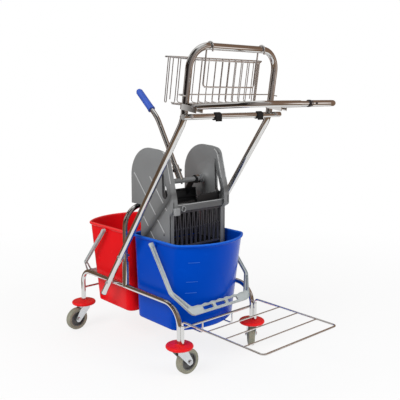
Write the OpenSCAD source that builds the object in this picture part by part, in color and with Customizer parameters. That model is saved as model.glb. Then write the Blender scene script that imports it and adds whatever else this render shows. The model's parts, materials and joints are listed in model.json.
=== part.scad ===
// Double mop bucket trolley: a chrome tube frame on four casters with two buckets, a press wringer,
// a wire basket, a bag loop and a wire tray. Millimetres, +Z up, +X towards the tray.
// The origin is on the floor under the middle of the trolley.

/* [Frame] */
// Room between the rear cross rail and the red bucket
rear_gap = 2; // [1:0.5:5]
// Distance between the left and the right legs
track = 340; // [336:1:380]
// Outside diameter of the frame tube
frame_d = 18; // [16:0.5:20]
// Wall of the chrome tubes
tube_wall = 1.5; // [1:0.1:2]
// Height of the side rails above the floor
rail_z = 233; // [225:1:250]
// Bend radius at the front of a side rail
front_bend_r = 70; // [55:1:72]
// Bend radius at the rear of a side rail
rear_bend_r = 50; // [40:1:55]
// Diameter of the cross rails
cross_d = 8; // [6:0.5:10]
// Height of a bail's grip above the front cross rail
bail_over = 31; // [25:1:40]
// Height of the rear cross rail
rear_cross_z = 160; // [155:1:170]
// Diameter of the rods under the buckets
bucket_rod_d = 6; // [5:0.5:8]
// Distance of each bucket rod from the middle
bucket_rod_y = 69; // [50:1:90]

/* [Casters] */
// Diameter of a wheel
wheel_d = 84; // [75:1:90]
// Width of a tyre
wheel_w = 24; // [20:1:28]
// Diameter of the hub that carries the tyre
hub_d = 58; // [50:1:62]
// Sideways distance between the stem and the axle
trail = 33; // [28:1:36]
// Diameter of the axle bolt
axle_d = 8; // [6:0.5:10]
// Diameter of the fork's stem
stem_d = 10; // [8:0.5:11]
// Length of the stem above the fork
stem_len = 38; // [30:1:45]
// Thickness of the fork's sheet steel
fork_sheet = 2.5; // [2:0.1:3]
// Diameter of a bumper disc
bumper_d = 92; // [80:1:100]
// Height of a bumper disc's rim
bumper_rim = 12; // [10:0.5:14]

/* [Push handle] */
// Outside diameter of the handle tube
handle_d = 22; // [20:0.5:24]
// Distance of the handle's foot behind the front legs
handle_foot_back = 408; // [390:1:430]
// Height of the handle's foot
handle_foot_z = 186; // [175:1:195]
// Distance of the handle's knee in front of the front legs
handle_knee_fwd = 48; // [40:1:56]
// Height of the handle's knee
handle_knee_z = 833; // [815:1:850]
// Distance of the top bar in front of the front legs
handle_top_fwd = 83; // [75:1:92]
// Height of the top bar's centre line
handle_top_z = 1057; // [1040:1:1080]
// Bend radius of the knee
knee_r = 120; // [90:1:140]
// Bend radius of the top corners
handle_corner_r = 70; // [60:1:75]
// Diameter of the frame bolts
bolt_d = 6; // [5:0.5:7]

/* [Wringer support] */
// Distance of the posts behind the front legs
post_back = 297; // [290:1:305]
// Outside diameter of a post socket
socket_d = 24; // [22:0.5:26]
// Height of a socket's top end
socket_top_z = 324; // [305:1:325]
// Height of the hoop's foot inside its socket
hoop_foot_z = 250; // [246:1:270]
// Height of the hoop's top bar
hoop_z = 518; // [510:1:530]
// Bend radius of the hoop
hoop_r = 72; // [60:1:80]

/* [Tray] */
// Distance of the tray's front bar from the front legs
tray_reach = 366; // [330:1:400]
// Height of the tray
tray_z = 187; // [180:1:192]
// Diameter of the tray's outer wire
tray_d = 7; // [6:0.5:8]
// Diameter of the tray's cross wires
tray_cross_d = 5; // [4:0.5:6]
// Number of cross wires
tray_cross_n = 3; // [2:1:4]
// Spacing of the cross wires, counted back from the front bar
tray_pitch = 78; // [70:1:82]
// Outside diameter of the tray sockets
tray_socket_d = 12; // [11:0.5:14]
// Depth of the tray's pins in their sockets
tray_pin = 55; // [40:1:60]

/* [Buckets] */
// Height of the buckets' floor above the ground
bucket_z = 122; // [118:1:124]
// Height of a bucket
bucket_h = 304; // [290:1:315]
// Half width of a bucket at the rim
rim_w = 151; // [147:1:152]
// Half width of a bucket at the floor
foot_w = 140; // [130:1:144]
// Length of a bucket at the rim, to the peak of its lip
rim_len = 314; // [300:1:318]
// Length of a bucket at the floor, to the peak of its front
foot_len = 261; // [240:1:262]
// Distance of the floor's inner end from the rim's inner end
foot_inset = 5; // [3:1:12]
// Radius of the bowed front
bow_r = 205; // [190:1:240]
// Radius of the corners
corner_r = 30; // [18:1:34]
// Wall of a bucket
bucket_wall = 3; // [2.5:0.1:4]
// Height of the rolled lip
lip = 7; // [5:0.5:9]
// Overhang of the rolled lip
lip_out = 8; // [5:0.5:9]
// Gap between the two rims
rim_gap = 24; // [20:1:30]
// Distance of the gap's middle in front of the posts
gap_fwd = 1; // [0:0.5:3]
// Distance of the bail pivots from the rim's inner end
pivot_x = 135; // [115:1:145]
// Distance of the bail pivots below the rim
pivot_drop = 18; // [16:0.5:22]
// Diameter of a bail pivot
pivot_d = 8; // [6:0.5:9]

/* [Bails] */
// Distance of the resting grip from the bucket's front
bail_gap = 2.5; // [1:0.5:8]
// Distance from the pivots to the bail's shoulders
bail_shoulder = 180; // [170:1:190]
// Distance from the pivots to the far edge of the grip
bail_len = 271; // [262:1:280]
// Half width of a bail at its shoulders
bail_w = 182; // [178:1:190]
// Half width of the grip
grip_w = 130; // [115:1:140]
// Width of the bail's arms
arm_w = 12; // [10:0.5:16]
// Thickness of a bail
bail_t = 10; // [8:0.5:12]
// Height of the grip with its windows
grip_h = 30; // [26:1:34]

/* [Wringer] */
// Distance between the outer faces of the side plates
wringer_w = 256; // [246:1:262]
// Thickness of a side plate
plate_t = 7; // [5:0.5:9]
// Width of the rim round a plate's front edge
flange_w = 14; // [10:1:18]
// How far that rim stands out
flange_out = 4; // [2:0.5:5]
// Radius of a plate's rounded top
plate_r = 103; // [95:1:106]
// Height of the top above the hoop
plate_top = 213; // [205:1:220]
// Distance of the plates' front edge from the hoop
plate_front = 217; // [212:1:222]
// Depth of the plates below the hoop
plate_drop = 210; // [190:1:225]
// Front to back size of the beam and the grid
beam_t = 16; // [12:1:20]
// Height of the front beam
beam_h = 22; // [18:1:26]
// Number of grid slats
slat_n = 13; // [9:1:17]
// Thickness of the drain floor
floor_t = 4; // [3:0.5:6]
// How far the front posts reach in from the plates
post_w = 13; // [8:1:18]

/* [Press] */
// Distance of the shaft in front of the hoop
shaft_x = 104; // [98:1:110]
// Height of the shaft above the hoop
shaft_z = 90; // [84:1:96]
// Diameter of the press shaft
shaft_d = 18; // [15:0.5:20]
// Angle of the lever from the vertical
lever_tilt = 31; // [25:1:36]
// Length of the lever below its bend
lever_len = 256; // [230:1:290]
// Angle of the lever's bend
lever_bend = 18; // [10:1:25]
// Diameter of the lever tube
lever_d = 18; // [16:0.5:20]
// Distance of the grip from the bend
grip_start = 45; // [40:1:60]
// Length of the lever's grip
grip_len = 107; // [90:1:130]
// Diameter of the lever's grip
grip_d = 26; // [24:0.5:30]
// Distance from the shaft to the press plate's lower edge
press_len = 205; // [190:1:207]
// Thickness of the press plate
press_t = 8; // [6:0.5:10]

/* [Bag holder] */
// Distance of the crossbar in front of the front legs
bar_fwd = 76; // [74:1:82]
// Height of the crossbar
bar_z = 845; // [842:1:850]
// Half length of the crossbar
bar_half = 215; // [210:1:230]
// Distance of the loop's hinge in front of the front legs
loop_fwd = 108; // [100:1:116]
// Height of the loop's hinge
loop_z = 876; // [872:1:880]
// Length of the loop from its hinge
loop_reach = 237; // [200:1:260]
// Upward slope of the loop
loop_tilt = 2.5; // [0:0.5:5]
// Bend radius of the loop's corners
loop_r = 60; // [40:1:80]
// Sideways place of the left half's end
join_left = -5; // [-20:1:10]
// Gap between the two halves of the loop
join_gap = 52; // [40:1:60]
// Width of a bag clip
clip_w = 24; // [18:1:30]
// Sideways place of the left clip
clip_left_y = -80; // [-100:1:-60]
// Sideways place of the right clip
clip_right_y = 110; // [90:1:125]

/* [Basket] */
// Half width of the basket at its back
basket_w = 222; // [216:1:226]
// Half width of the basket at its front
basket_front_w = 132; // [128:1:138]
// Depth of the basket
basket_depth = 73; // [60:1:90]
// Distance of the rim below the top bar, along the handle
basket_rim = 44; // [40:1:50]
// Height of the basket, along the handle
basket_h = 143; // [130:1:146]
// Diameter of the basket's rim wire
rim_wire = 5; // [4:0.5:6]
// Diameter of the basket's upright wires
thin_wire = 3; // [2.5:0.5:4]
// Distance between upright wires
wire_pitch = 30; // [25:1:36]

/* [Fits] */
// Clearance of a piece that is pressed or welded into another
seat = 0.05; // [0.02:0.01:0.1]
// Radial clearance of a pin that turns in a bore
run_fit = 0.08; // [0.05:0.01:0.1]
// Clearance between pieces that lie side by side
side_gap = 0.3; // [0.2:0.05:0.5]

/* [Hidden] */
$fn = 48;
wire_fn = 24;

// The buckets' sloping fronts decide the wheelbase
front_slope = (rim_len - foot_len - foot_inset) / bucket_h;
rear_reach = foot_len + foot_inset + front_slope * (rear_cross_z - bucket_z);
wheelbase = post_back - gap_fwd + rim_gap / 2 + rear_reach + cross_d / 2 + rear_gap;

// The legs and rails
leg_y = track / 2;
front_leg_x = (wheelbase + bumper_d / 2 - tray_reach - tray_d / 2) / 2;
rear_leg_x = front_leg_x - wheelbase;
head_gap = 3;
head_t = 5;
head_z = wheel_d + head_gap;
leg_end_z = head_z + head_t + 1;
post_x = front_leg_x - post_back;
handle_y = leg_y + (frame_d + handle_d) / 2 + side_gap;
foot = [front_leg_x - handle_foot_back, handle_foot_z];
knee = [front_leg_x + handle_knee_fwd, handle_knee_z];
top = [front_leg_x + handle_top_fwd, handle_top_z];
diagonal_rise = (knee[1] - foot[1]) / (knee[0] - foot[0]);
lean = atan2(top[0] - knee[0], top[1] - knee[1]);
rail_bolt_x = foot[0] + (rail_z - foot[1]) / diagonal_rise;
post_bolt_z = foot[1] + (post_x - foot[0]) * diagonal_rise;
bar_x = front_leg_x + bar_fwd;
tray_pin_x = front_leg_x + (frame_d + tray_socket_d) / 2 + seat;
tray_bend = 2 * tray_d;

// The casters: place of the stem and direction of the trail
CASTER_FL = [front_leg_x, -leg_y, 90];
CASTER_FR = [front_leg_x, leg_y, 138];
CASTER_RL = [rear_leg_x, -leg_y, 270];
CASTER_RR = [rear_leg_x, leg_y, 90];
fork_gap = wheel_w / 2 + 2;

// The buckets
rim_z = bucket_z + bucket_h;
bucket_mid = post_x + gap_fwd;
blue_x = bucket_mid + rim_gap / 2;
red_x = bucket_mid - rim_gap / 2;
pivot_z = rim_z - pivot_drop;
pivot_w = rim_w + lip_out + 0.5;
eye_len = 14;
pivot_end = pivot_w + eye_len + 1;

// The bails rest against the buckets' sloping fronts
bail_reach = bail_len - grip_h;
bail_run = foot_len + foot_inset + front_slope * (bucket_h - pivot_drop) - pivot_x
    + bail_gap * norm([1, front_slope]);
bail_side = [bail_reach + front_slope * bail_t / 2, front_slope * bail_reach - bail_t / 2];
bail_tilt = asin(bail_run / norm(bail_side)) - atan2(bail_side[1], bail_side[0]);
front_cross_z = pivot_z - bail_len * cos(bail_tilt) - (bail_t + cross_d) / 2 - bail_over;

// The wringer, measured from the hoop's top bar
plate_in = wringer_w / 2 - plate_t;
post_front = plate_front - 19;
post_t = 4;
beam_front = plate_front - 10;
beam_z = 2;
grid_x = post_front - post_t - beam_t / 4 - seat;
plate_gap = side_gap;
collar_y = plate_in - 30;
floor_z = shaft_z - press_len - floor_t - 12;
grid_h = beam_z - floor_z - floor_t - 2 * seat;

// Points on an arc
function arc(c, r, a0, a1, n) = [for (i = [0:n]) c + r * [cos(a0 + (a1 - a0) * i / n), sin(a0 + (a1 - a0) * i / n)]];

// Outline of a bucket: straight sides, round corners, bowed front with its peak at x = len
function bow_centre(len) = len - bow_r;
function front_corner_x(len, w, r) = bow_centre(len) + sqrt(pow(bow_r - r, 2) - pow(w - r, 2));
function bow_angle(len, w, r) = atan2(w - r, front_corner_x(len, w, r) - bow_centre(len));
function bucket_outline(x0, len, w, r) = concat(
    arc([x0 + r, r - w], r, 180, 270, 6),
    arc([front_corner_x(len, w, r), r - w], r, -90, -bow_angle(len, w, r), 6),
    arc([bow_centre(len), 0], bow_r, -bow_angle(len, w, r), bow_angle(len, w, r), 20),
    arc([front_corner_x(len, w, r), w - r], r, bow_angle(len, w, r), 90, 6),
    arc([x0 + r, w - r], r, 90, 180, 6));

function unit(v) = v / norm(v);
function toward(a, b) = unit(b - a);

// Frame of a bar: columns are two cross directions, the bar's own direction and its start
function side_of(d) = abs(d[2]) < 0.9 ? unit(cross([0, 0, 1], d)) : unit(cross([1, 0, 0], d));
module along(a, b) {
    d = toward(a, b);
    s = side_of(d);
    t = cross(d, s);
    multmatrix([[s[0], t[0], d[0], a[0]], [s[1], t[1], d[1], a[1]], [s[2], t[2], d[2], a[2]], [0, 0, 0, 1]])
        children();
}

// A straight round bar between two points, hollow where a bore is given
module bar(a, b, d, bore = 0) {
    along(a, b)
        difference() {
            cylinder(d = d, h = norm(b - a));
            if (bore > 0)
                translate([0, 0, -1])
                    cylinder(d = bore, h = norm(b - a) + 2);
        }
}

// Cross section of a bar or a tube
module ring(d, bore) {
    difference() {
        circle(d = d);
        if (bore > 0)
            circle(d = bore);
    }
}

// The arc that joins the runs a-b and b-c
module elbow(a, b, c, d, r, bore = 0) {
    u = toward(a, b);
    v = toward(b, c);
    turn = acos(u * v);
    n = unit(v - (u * v) * u);
    centre = b - u * r * tan(turn / 2) + n * r;
    w = cross(-n, u);
    multmatrix([[-n[0], u[0], w[0], centre[0]], [-n[1], u[1], w[1], centre[1]],
                [-n[2], u[2], w[2], centre[2]], [0, 0, 0, 1]])
        rotate_extrude(angle = turn)
            translate([r, 0])
                ring(d, bore);
}

// Length of straight run that the elbow at b takes up
function setback(a, b, c, r) = r * tan(acos(toward(a, b) * toward(b, c)) / 2);

// A round bar along straight runs, with an elbow of radius rs[i - 1] at each inner point
module rod(p, rs, d, bore = 0) {
    last = len(p) - 1;
    for (i = [0:last - 1]) {
        dir = toward(p[i], p[i + 1]);
        s0 = i == 0 ? 0 : setback(p[i - 1], p[i], p[i + 1], rs[i - 1]);
        s1 = i == last - 1 ? 0 : setback(p[i], p[i + 1], p[i + 2], rs[i]);
        bar(p[i] + dir * s0, p[i + 1] - dir * s1, d, bore);
    }
    for (i = [1:last - 1])
        elbow(p[i - 1], p[i], p[i + 1], d, rs[i - 1], bore);
}

// A tube along the same kind of path, open at both ends
module tube(p, rs, d) {
    rod(p, rs, d, d - 2 * tube_wall);
}

// Arc of a round bar about the Z axis, cut from a whole ring so that its ends lie in the planes of its frames
module bend(turn, r, d, bore) {
    big = r + d;
    difference() {
        rotate_extrude()
            translate([r, 0])
                ring(d, bore);
        translate([-big, -2 * big, -big])
            cube(2 * big);
        rotate([0, 0, turn])
            translate([-big, 0, -big])
                cube(2 * big);
    }
}

// A round bar that sets off along +Z. Each step is [length, turn, radius, roll]: the bar runs on by the
// length, then bends by the turn towards -X after a roll about its own line
module sweep(steps, d, bore = 0, i = 0) {
    length = steps[i][0];
    difference() {
        cylinder(d = d, h = length);
        if (bore > 0)
            translate([0, 0, -1])
                cylinder(d = bore, h = length + 2);
    }
    if (i < len(steps) - 1)
        translate([0, 0, length])
            rotate([0, 0, steps[i][3]])
                translate([-steps[i][2], 0, 0])
                    rotate([90, 0, 0]) {
                        bend(steps[i][1], steps[i][2], d, bore);
                        rotate([0, 0, steps[i][1]])
                            translate([steps[i][2], 0, 0])
                                rotate([-90, 0, 0])
                                    sweep(steps, d, bore, i + 1);
                    }
}

// Side frames
function side_path(y) = [
    [rear_leg_x, y, leg_end_z], [rear_leg_x, y, rail_z], [front_leg_x, y, rail_z], [front_leg_x, y, leg_end_z]];

module side_rod(y, d) {
    rod(side_path(y), [rear_bend_r, front_bend_r], d);
}

module bolt_hole(p, d) {
    translate(p)
        rotate([90, 0, 0])
            cylinder(d = d, h = 4 * handle_d, center = true);
}

module side_frame(y) {
    color("silver")
        difference() {
            tube(side_path(y), [rear_bend_r, front_bend_r], frame_d);
            bolt_hole([rail_bolt_x, y, rail_z], bolt_d + 2 * seat);
        }
}

module side_frame_left() {
    side_frame(-leg_y);
}

module side_frame_right() {
    side_frame(leg_y);
}

// Cross rails, cut to the legs that they are welded to
module cross_rail(x, z) {
    color("silver")
        difference() {
            bar([x, -leg_y, z], [x, leg_y, z], cross_d);
            for (y = [-leg_y, leg_y])
                side_rod(y, frame_d + 2 * seat);
        }
}

module front_cross_rail() {
    cross_rail(front_leg_x, front_cross_z);
}

module rear_cross_rail() {
    cross_rail(rear_leg_x, rear_cross_z);
}

// Two rods under the buckets, hung from the cross rails
module bucket_rods() {
    rod_z = bucket_z - bucket_rod_d / 2 - seat;
    drop = cross_d / 2 + seat;
    rod_bend = 12;
    color("silver")
        for (y = [-bucket_rod_y, bucket_rod_y])
            rod([[front_leg_x, y, front_cross_z - drop], [front_leg_x, y, rod_z],
                 [rear_leg_x, y, rod_z], [rear_leg_x, y, rear_cross_z - drop]], [rod_bend, rod_bend], bucket_rod_d);
}

// Sockets on the side rails that hold the hoop
module post_sockets() {
    color("silver")
        for (y = [-leg_y, leg_y])
            difference() {
                translate([post_x, y, rail_z])
                    cylinder(d = socket_d, h = socket_top_z - rail_z);
                translate([post_x, y, rail_z])
                    cylinder(d = frame_d + 2 * seat, h = socket_top_z);
                bar([rear_leg_x, y, rail_z], [front_leg_x, y, rail_z], frame_d + 2 * seat);
            }
}

// Hoop that carries the wringer
module wringer_hoop() {
    color("silver")
        difference() {
            tube([[post_x, -leg_y, hoop_foot_z], [post_x, -leg_y, hoop_z],
                  [post_x, leg_y, hoop_z], [post_x, leg_y, hoop_foot_z]], [hoop_r, hoop_r], frame_d);
            bolt_hole([post_x, -leg_y, post_bolt_z], bolt_d + 2 * seat);
            bolt_hole([post_x, leg_y, post_bolt_z], bolt_d + 2 * seat);
        }
}

// Push handle, each half drawn from its foot: diagonal, knee, upright, corner and half the top bar
diagonal_angle = atan2(knee[0] - foot[0], knee[1] - foot[1]);
knee_setback = knee_r * tan((diagonal_angle - lean) / 2);
handle_steps = [
    [norm(knee - foot) - knee_setback, diagonal_angle - lean, knee_r, 0],
    [norm(top - knee) - knee_setback - handle_corner_r, 90, handle_corner_r, -90],
    [handle_y - handle_corner_r]];

module handle_half(side, d, bore) {
    mirror([0, side > 0 ? 1 : 0, 0])
        translate([foot[0], -handle_y, foot[1]])
            rotate([0, diagonal_angle, 0])
                sweep(handle_steps, d, bore);
}

module push_handle() {
    color("silver")
        difference() {
            for (side = [-1, 1])
                handle_half(side, handle_d, handle_d - 2 * tube_wall);
            for (y = [-handle_y, handle_y]) {
                bolt_hole([rail_bolt_x, y, rail_z], bolt_d + 2 * seat);
                bolt_hole([post_x, y, post_bolt_z], bolt_d + 2 * seat);
                crossbar_bolt_hole(y);
            }
        }
}

// Plastic plugs in the handle's lower ends
module handle_plugs() {
    plug_len = 18;
    cap_t = 3;
    color("dimgray")
        for (y = [-handle_y, handle_y]) {
            start = [foot[0], y, foot[1]];
            dir = toward(start, [knee[0], y, knee[1]]);
            bar(start - dir * cap_t, start + dir * plug_len, handle_d - 2 * tube_wall - 2 * seat);
            bar(start - dir * cap_t, start - dir * seat, handle_d);
        }
}

// Bolts with nuts through the handle and the frame
module handle_bolt(p, side) {
    nut_d = 2 * bolt_d - 2;
    nut_t = 5;
    in_y = leg_y - frame_d / 2 - seat;
    out_y = handle_y + handle_d / 2 + seat;
    bar([p[0], side * (in_y - nut_t - 1), p[1]], [p[0], side * (out_y + 1), p[1]], bolt_d);
    bar([p[0], side * (in_y - nut_t), p[1]], [p[0], side * in_y, p[1]], nut_d);
    translate([p[0], side * out_y, p[1]])
        rotate([-90 * side, 0, 0])
            cylinder(d1 = nut_d + 3, d2 = nut_d - 3, h = 4);
}

module handle_bolts() {
    color("gainsboro")
        for (side = [-1, 1]) {
            handle_bolt([rail_bolt_x, rail_z], side);
            handle_bolt([post_x, post_bolt_z], side);
        }
}

// Short tubes on the front legs that take the tray's pins
module tray_sockets() {
    low = leg_end_z + bumper_rim + 8;
    color("silver")
        for (y = [-leg_y, leg_y])
            translate([tray_pin_x, y, low])
                difference() {
                    cylinder(d = tray_socket_d, h = tray_z - tray_bend - side_gap - low);
                    translate([0, 0, -1])
                        cylinder(d = tray_d + 2 * run_fit, h = tray_z);
                }
}

// Plastic plugs in the leg ends, bored for the caster stems
module leg_plugs() {
    color("dimgray")
        for (c = [CASTER_FL, CASTER_FR, CASTER_RL, CASTER_RR])
            translate([c[0], c[1], leg_end_z])
                difference() {
                    cylinder(d = frame_d - 2 * tube_wall - 2 * seat, h = stem_len + 2);
                    translate([0, 0, -1])
                        cylinder(d = stem_d + 2 * run_fit, h = stem_len + 4);
                }
}

// Round red bumper on each leg
module bumper() {
    bore = frame_d / 2 + seat;
    rim_r = bumper_rim / 2;
    mid = rim_r + 2;
    collar_r = bore + 6;
    neck_r = bore + 16;
    rotate_extrude()
        polygon(concat(
            [[bore, 0], [neck_r, 0], [neck_r + 2, 2]],
            arc([bumper_d / 2 - rim_r, mid], rim_r, -90, 90, 12),
            [[collar_r + 2, mid + rim_r + 3], [collar_r, mid + rim_r + 4], [bore, mid + rim_r + 4]]));
}

module bumpers() {
    color("red")
        for (c = [CASTER_FL, CASTER_FR, CASTER_RL, CASTER_RR])
            translate([c[0], c[1], leg_end_z])
                bumper();
}

// Casters, drawn with the stem on the axis and the wheel trailing along +X
module placed(c) {
    translate([c[0], c[1], 0])
        rotate([0, 0, c[2]])
            children();
}

module fork_arm(y0) {
    axle_boss = axle_d / 2 + 7;
    reach = 17;
    translate([0, y0 + fork_sheet, 0])
        rotate([90, 0, 0])
            linear_extrude(fork_sheet)
                polygon(concat(
                    [[-reach, head_z], [-reach, head_z - 8]],
                    arc([trail, wheel_d / 2], axle_boss, 215, 395, 16),
                    [[reach + 8, head_z - 8], [reach, head_z]]));
}

module fork(c) {
    head_r = fork_gap + fork_sheet + 5;
    color("lightgray")
        placed(c)
            difference() {
                union() {
                    fork_arm(fork_gap);
                    fork_arm(-fork_gap - fork_sheet);
                    translate([0, 0, head_z])
                        cylinder(r = head_r, h = head_t - 2);
                    translate([0, 0, head_z])
                        cylinder(r = head_r - 4, h = head_t);
                    translate([0, 0, head_z])
                        cylinder(d = stem_d, h = head_t + stem_len);
                }
                translate([trail, 0, wheel_d / 2])
                    rotate([90, 0, 0])
                        cylinder(d = axle_d + 2 * seat, h = 4 * wheel_w, center = true);
            }
}

module axle(c) {
    end = fork_gap + fork_sheet + seat;
    head = 5;
    color("gainsboro")
        placed(c)
            translate([trail, 0, wheel_d / 2])
                rotate([-90, 0, 0]) {
                    translate([0, 0, -end])
                        cylinder(d = axle_d, h = 2 * end);
                    translate([0, 0, end])
                        cylinder(d = axle_d + 7, h = head, $fn = 6);
                    translate([0, 0, -end - head])
                        cylinder(d = axle_d + 6, h = head);
                }
}

module hub(c) {
    bore = axle_d / 2 + run_fit;
    web = 8;
    rim_t = 4;
    boss = axle_d / 2 + 6;
    half = wheel_w / 2;
    color("dimgray")
        placed(c)
            translate([trail, 0, wheel_d / 2])
                rotate([90, 0, 0])
                    rotate_extrude()
                        polygon([
                            [bore, -half - 1], [boss, -half - 1], [boss, -web / 2],
                            [hub_d / 2 - rim_t, -web / 2], [hub_d / 2 - rim_t, 2 - half], [hub_d / 2, 2 - half],
                            [hub_d / 2, half - 2], [hub_d / 2 - rim_t, half - 2], [hub_d / 2 - rim_t, web / 2],
                            [boss, web / 2], [boss, half + 1], [bore, half + 1]]);
}

module tyre(c) {
    inner = hub_d / 2 + seat;
    outer = wheel_d / 2;
    edge = 6;
    half = wheel_w / 2;
    color("darkkhaki")
        placed(c)
            translate([trail, 0, wheel_d / 2])
                rotate([90, 0, 0])
                    rotate_extrude()
                        polygon(concat(
                            [[inner, 1 - half], [inner + 4, -half]],
                            arc([outer - edge, edge - half], edge, -90, 0, 6),
                            arc([outer - edge, half - edge], edge, 0, 90, 6),
                            [[inner + 4, half], [inner, half - 1]]));
}

module fork_fl() { fork(CASTER_FL); }
module axle_fl() { axle(CASTER_FL); }
module hub_fl() { hub(CASTER_FL); }
module tyre_fl() { tyre(CASTER_FL); }
module fork_fr() { fork(CASTER_FR); }
module axle_fr() { axle(CASTER_FR); }
module hub_fr() { hub(CASTER_FR); }
module tyre_fr() { tyre(CASTER_FR); }
module fork_rl() { fork(CASTER_RL); }
module axle_rl() { axle(CASTER_RL); }
module hub_rl() { hub(CASTER_RL); }
module tyre_rl() { tyre(CASTER_RL); }
module fork_rr() { fork(CASTER_RR); }
module axle_rr() { axle(CASTER_RR); }
module hub_rr() { hub(CASTER_RR); }
module tyre_rr() { tyre(CASTER_RR); }

// Wire tray with two pins that stand in the sockets
module tray() {
    pin_foot = tray_z - tray_d - tray_pin;
    front = front_leg_x + tray_reach;
    cross_y = leg_y - tray_d / 2 - seat;
    color("silver") {
        rod([[tray_pin_x, -leg_y, pin_foot], [tray_pin_x, -leg_y, tray_z], [front, -leg_y, tray_z],
             [front, leg_y, tray_z], [tray_pin_x, leg_y, tray_z], [tray_pin_x, leg_y, pin_foot]],
            [tray_bend, tray_bend, tray_bend, tray_bend], tray_d, $fn = wire_fn);
        for (i = [1:tray_cross_n])
            bar([front - i * tray_pitch, -cross_y, tray_z], [front - i * tray_pitch, cross_y, tray_z],
                tray_cross_d, $fn = wire_fn);
    }
}

// Crossbar for the bag, carried on saddles in front of the handle
module crossbar_bolt_hole(y) {
    bar([knee[0] - handle_d, y, bar_z], [bar_x + frame_d, y, bar_z], bolt_d + 2 * seat);
}

module bag_crossbar() {
    color("silver")
        difference() {
            bar([bar_x, -bar_half, bar_z], [bar_x, bar_half, bar_z], frame_d, frame_d - 2 * tube_wall);
            for (y = [-handle_y, handle_y])
                crossbar_bolt_hole(y);
        }
}

module crossbar_saddles() {
    $fn = 120;
    color("silver")
        for (y = [-handle_y, handle_y])
            difference() {
                bar([knee[0], y, bar_z], [bar_x, y, bar_z], frame_d - 2);
                handle_half(y < 0 ? -1 : 1, handle_d + 2 * seat, 0);
                bar([bar_x, -bar_half, bar_z], [bar_x, bar_half, bar_z], frame_d + 2 * seat);
                crossbar_bolt_hole(y);
            }
}

module crossbar_bolts() {
    back = knee[0] - handle_d / 2 - 4;
    front = bar_x + frame_d / 2 + seat;
    color("gainsboro")
        for (y = [-handle_y, handle_y]) {
            bar([back, y, bar_z], [front + 4, y, bar_z], bolt_d);
            bar([front, y, bar_z], [front + 4, y, bar_z], 2 * bolt_d - 2);
        }
}

module crossbar_caps() {
    cap_t = 2;
    plug_len = 15;
    color("silver")
        for (side = [-1, 1]) {
            bar([bar_x, side * (bar_half - plug_len), bar_z], [bar_x, side * (bar_half + cap_t), bar_z],
                frame_d - 2 * tube_wall - 2 * seat);
            bar([bar_x, side * (bar_half + seat), bar_z], [bar_x, side * (bar_half + cap_t), bar_z], frame_d);
        }
}

// Snap clips that hold the bag on the crossbar
module bag_clip(y) {
    clip_t = 3.5;
    open_angle = 90;
    tab = 16;
    inner = frame_d / 2 + run_fit;
    color("black")
        translate([bar_x, y, bar_z])
            rotate([90, 0, 0])
                translate([0, 0, -clip_w / 2]) {
                    rotate([0, 0, 180])
                        rotate_extrude(angle = 360 - open_angle)
                            translate([inner, 0])
                                square([clip_t, clip_w]);
                    translate([inner, -tab, 0])
                        cube([clip_t, tab, clip_w]);
                }
}

module bag_clip_left() {
    bag_clip(clip_left_y);
}

module bag_clip_right() {
    bag_clip(clip_right_y);
}

// Folding bag loop: two bent halves on a joining rod
loop_x = front_leg_x + loop_fwd;
bracket_t = 3;
bracket_gap = handle_d / 2 + side_gap;
upright_fwd = knee[0] + (loop_z - knee[1]) * tan(lean);

module in_loop() {
    translate([loop_x, 0, loop_z])
        rotate([0, -loop_tilt, 0])
            children();
}

module loop_half(side, end_y) {
    behind = frame_d / 2 + 2;
    color("silver")
        in_loop()
            difference() {
                tube([[-behind, side * handle_y, 0], [loop_reach, side * handle_y, 0], [loop_reach, end_y, 0]],
                     [loop_r], frame_d);
                bolt_hole([0, side * handle_y, 0], bolt_d + 2 * run_fit);
                if (end_y > 0)
                    joiner_bolt_hole();
            }
}

module joiner_bolt_hole() {
    y = join_left + join_gap + 14;
    bar([loop_reach - frame_d, y, 0], [loop_reach + frame_d, y, 0], bolt_d + 2 * seat);
}

module bag_loop_left() {
    loop_half(-1, join_left);
}

module bag_loop_right() {
    loop_half(1, join_left + join_gap);
}

module bag_loop_joiner() {
    hold = 28;
    color("gainsboro")
        in_loop()
            difference() {
                bar([loop_reach, join_left - hold, 0], [loop_reach, join_left + join_gap + hold, 0],
                    frame_d - 2 * tube_wall - 2 * seat);
                joiner_bolt_hole();
            }
}

// Dark clamp screw beside the joint and the screw that holds the rod
module bag_loop_bolts() {
    y = join_left + join_gap + 14;
    ring_y = join_left + join_gap - 8;
    ring_w = 7;
    out = frame_d / 2 + seat;
    color("dimgray")
        in_loop() {
            bar([loop_reach - out - 1, y, 0], [loop_reach + out + 2, y, 0], bolt_d);
            difference() {
                bar([loop_reach, ring_y - ring_w, 0], [loop_reach, ring_y, 0], frame_d + 3);
                bar([loop_reach, ring_y - 2 * ring_w, 0], [loop_reach, ring_y + ring_w, 0],
                    frame_d - 2 * tube_wall);
            }
        }
}

// Straps round the uprights that carry the loop's hinges
module bag_bracket(side) {
    strap_h = 18;
    outer = bracket_gap + bracket_t;
    front = loop_x - upright_fwd + 12;
    difference() {
        translate([upright_fwd, side * handle_y, loop_z])
            rotate([0, lean, 0])
                translate([0, 0, -strap_h / 2])
                    difference() {
                        union() {
                            cylinder(r = outer, h = strap_h);
                            translate([0, -outer, 0])
                                cube([front, 2 * outer, strap_h]);
                        }
                        translate([0, 0, -1])
                            cylinder(r = bracket_gap, h = strap_h + 2);
                        translate([0, -bracket_gap, -1])
                            cube([front + 1, 2 * bracket_gap, strap_h + 2]);
                    }
        bolt_hole([loop_x, side * handle_y, loop_z], bolt_d + 2 * seat);
    }
}

module bag_brackets() {
    color("lightgray")
        for (side = [-1, 1])
            bag_bracket(side);
}

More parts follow.
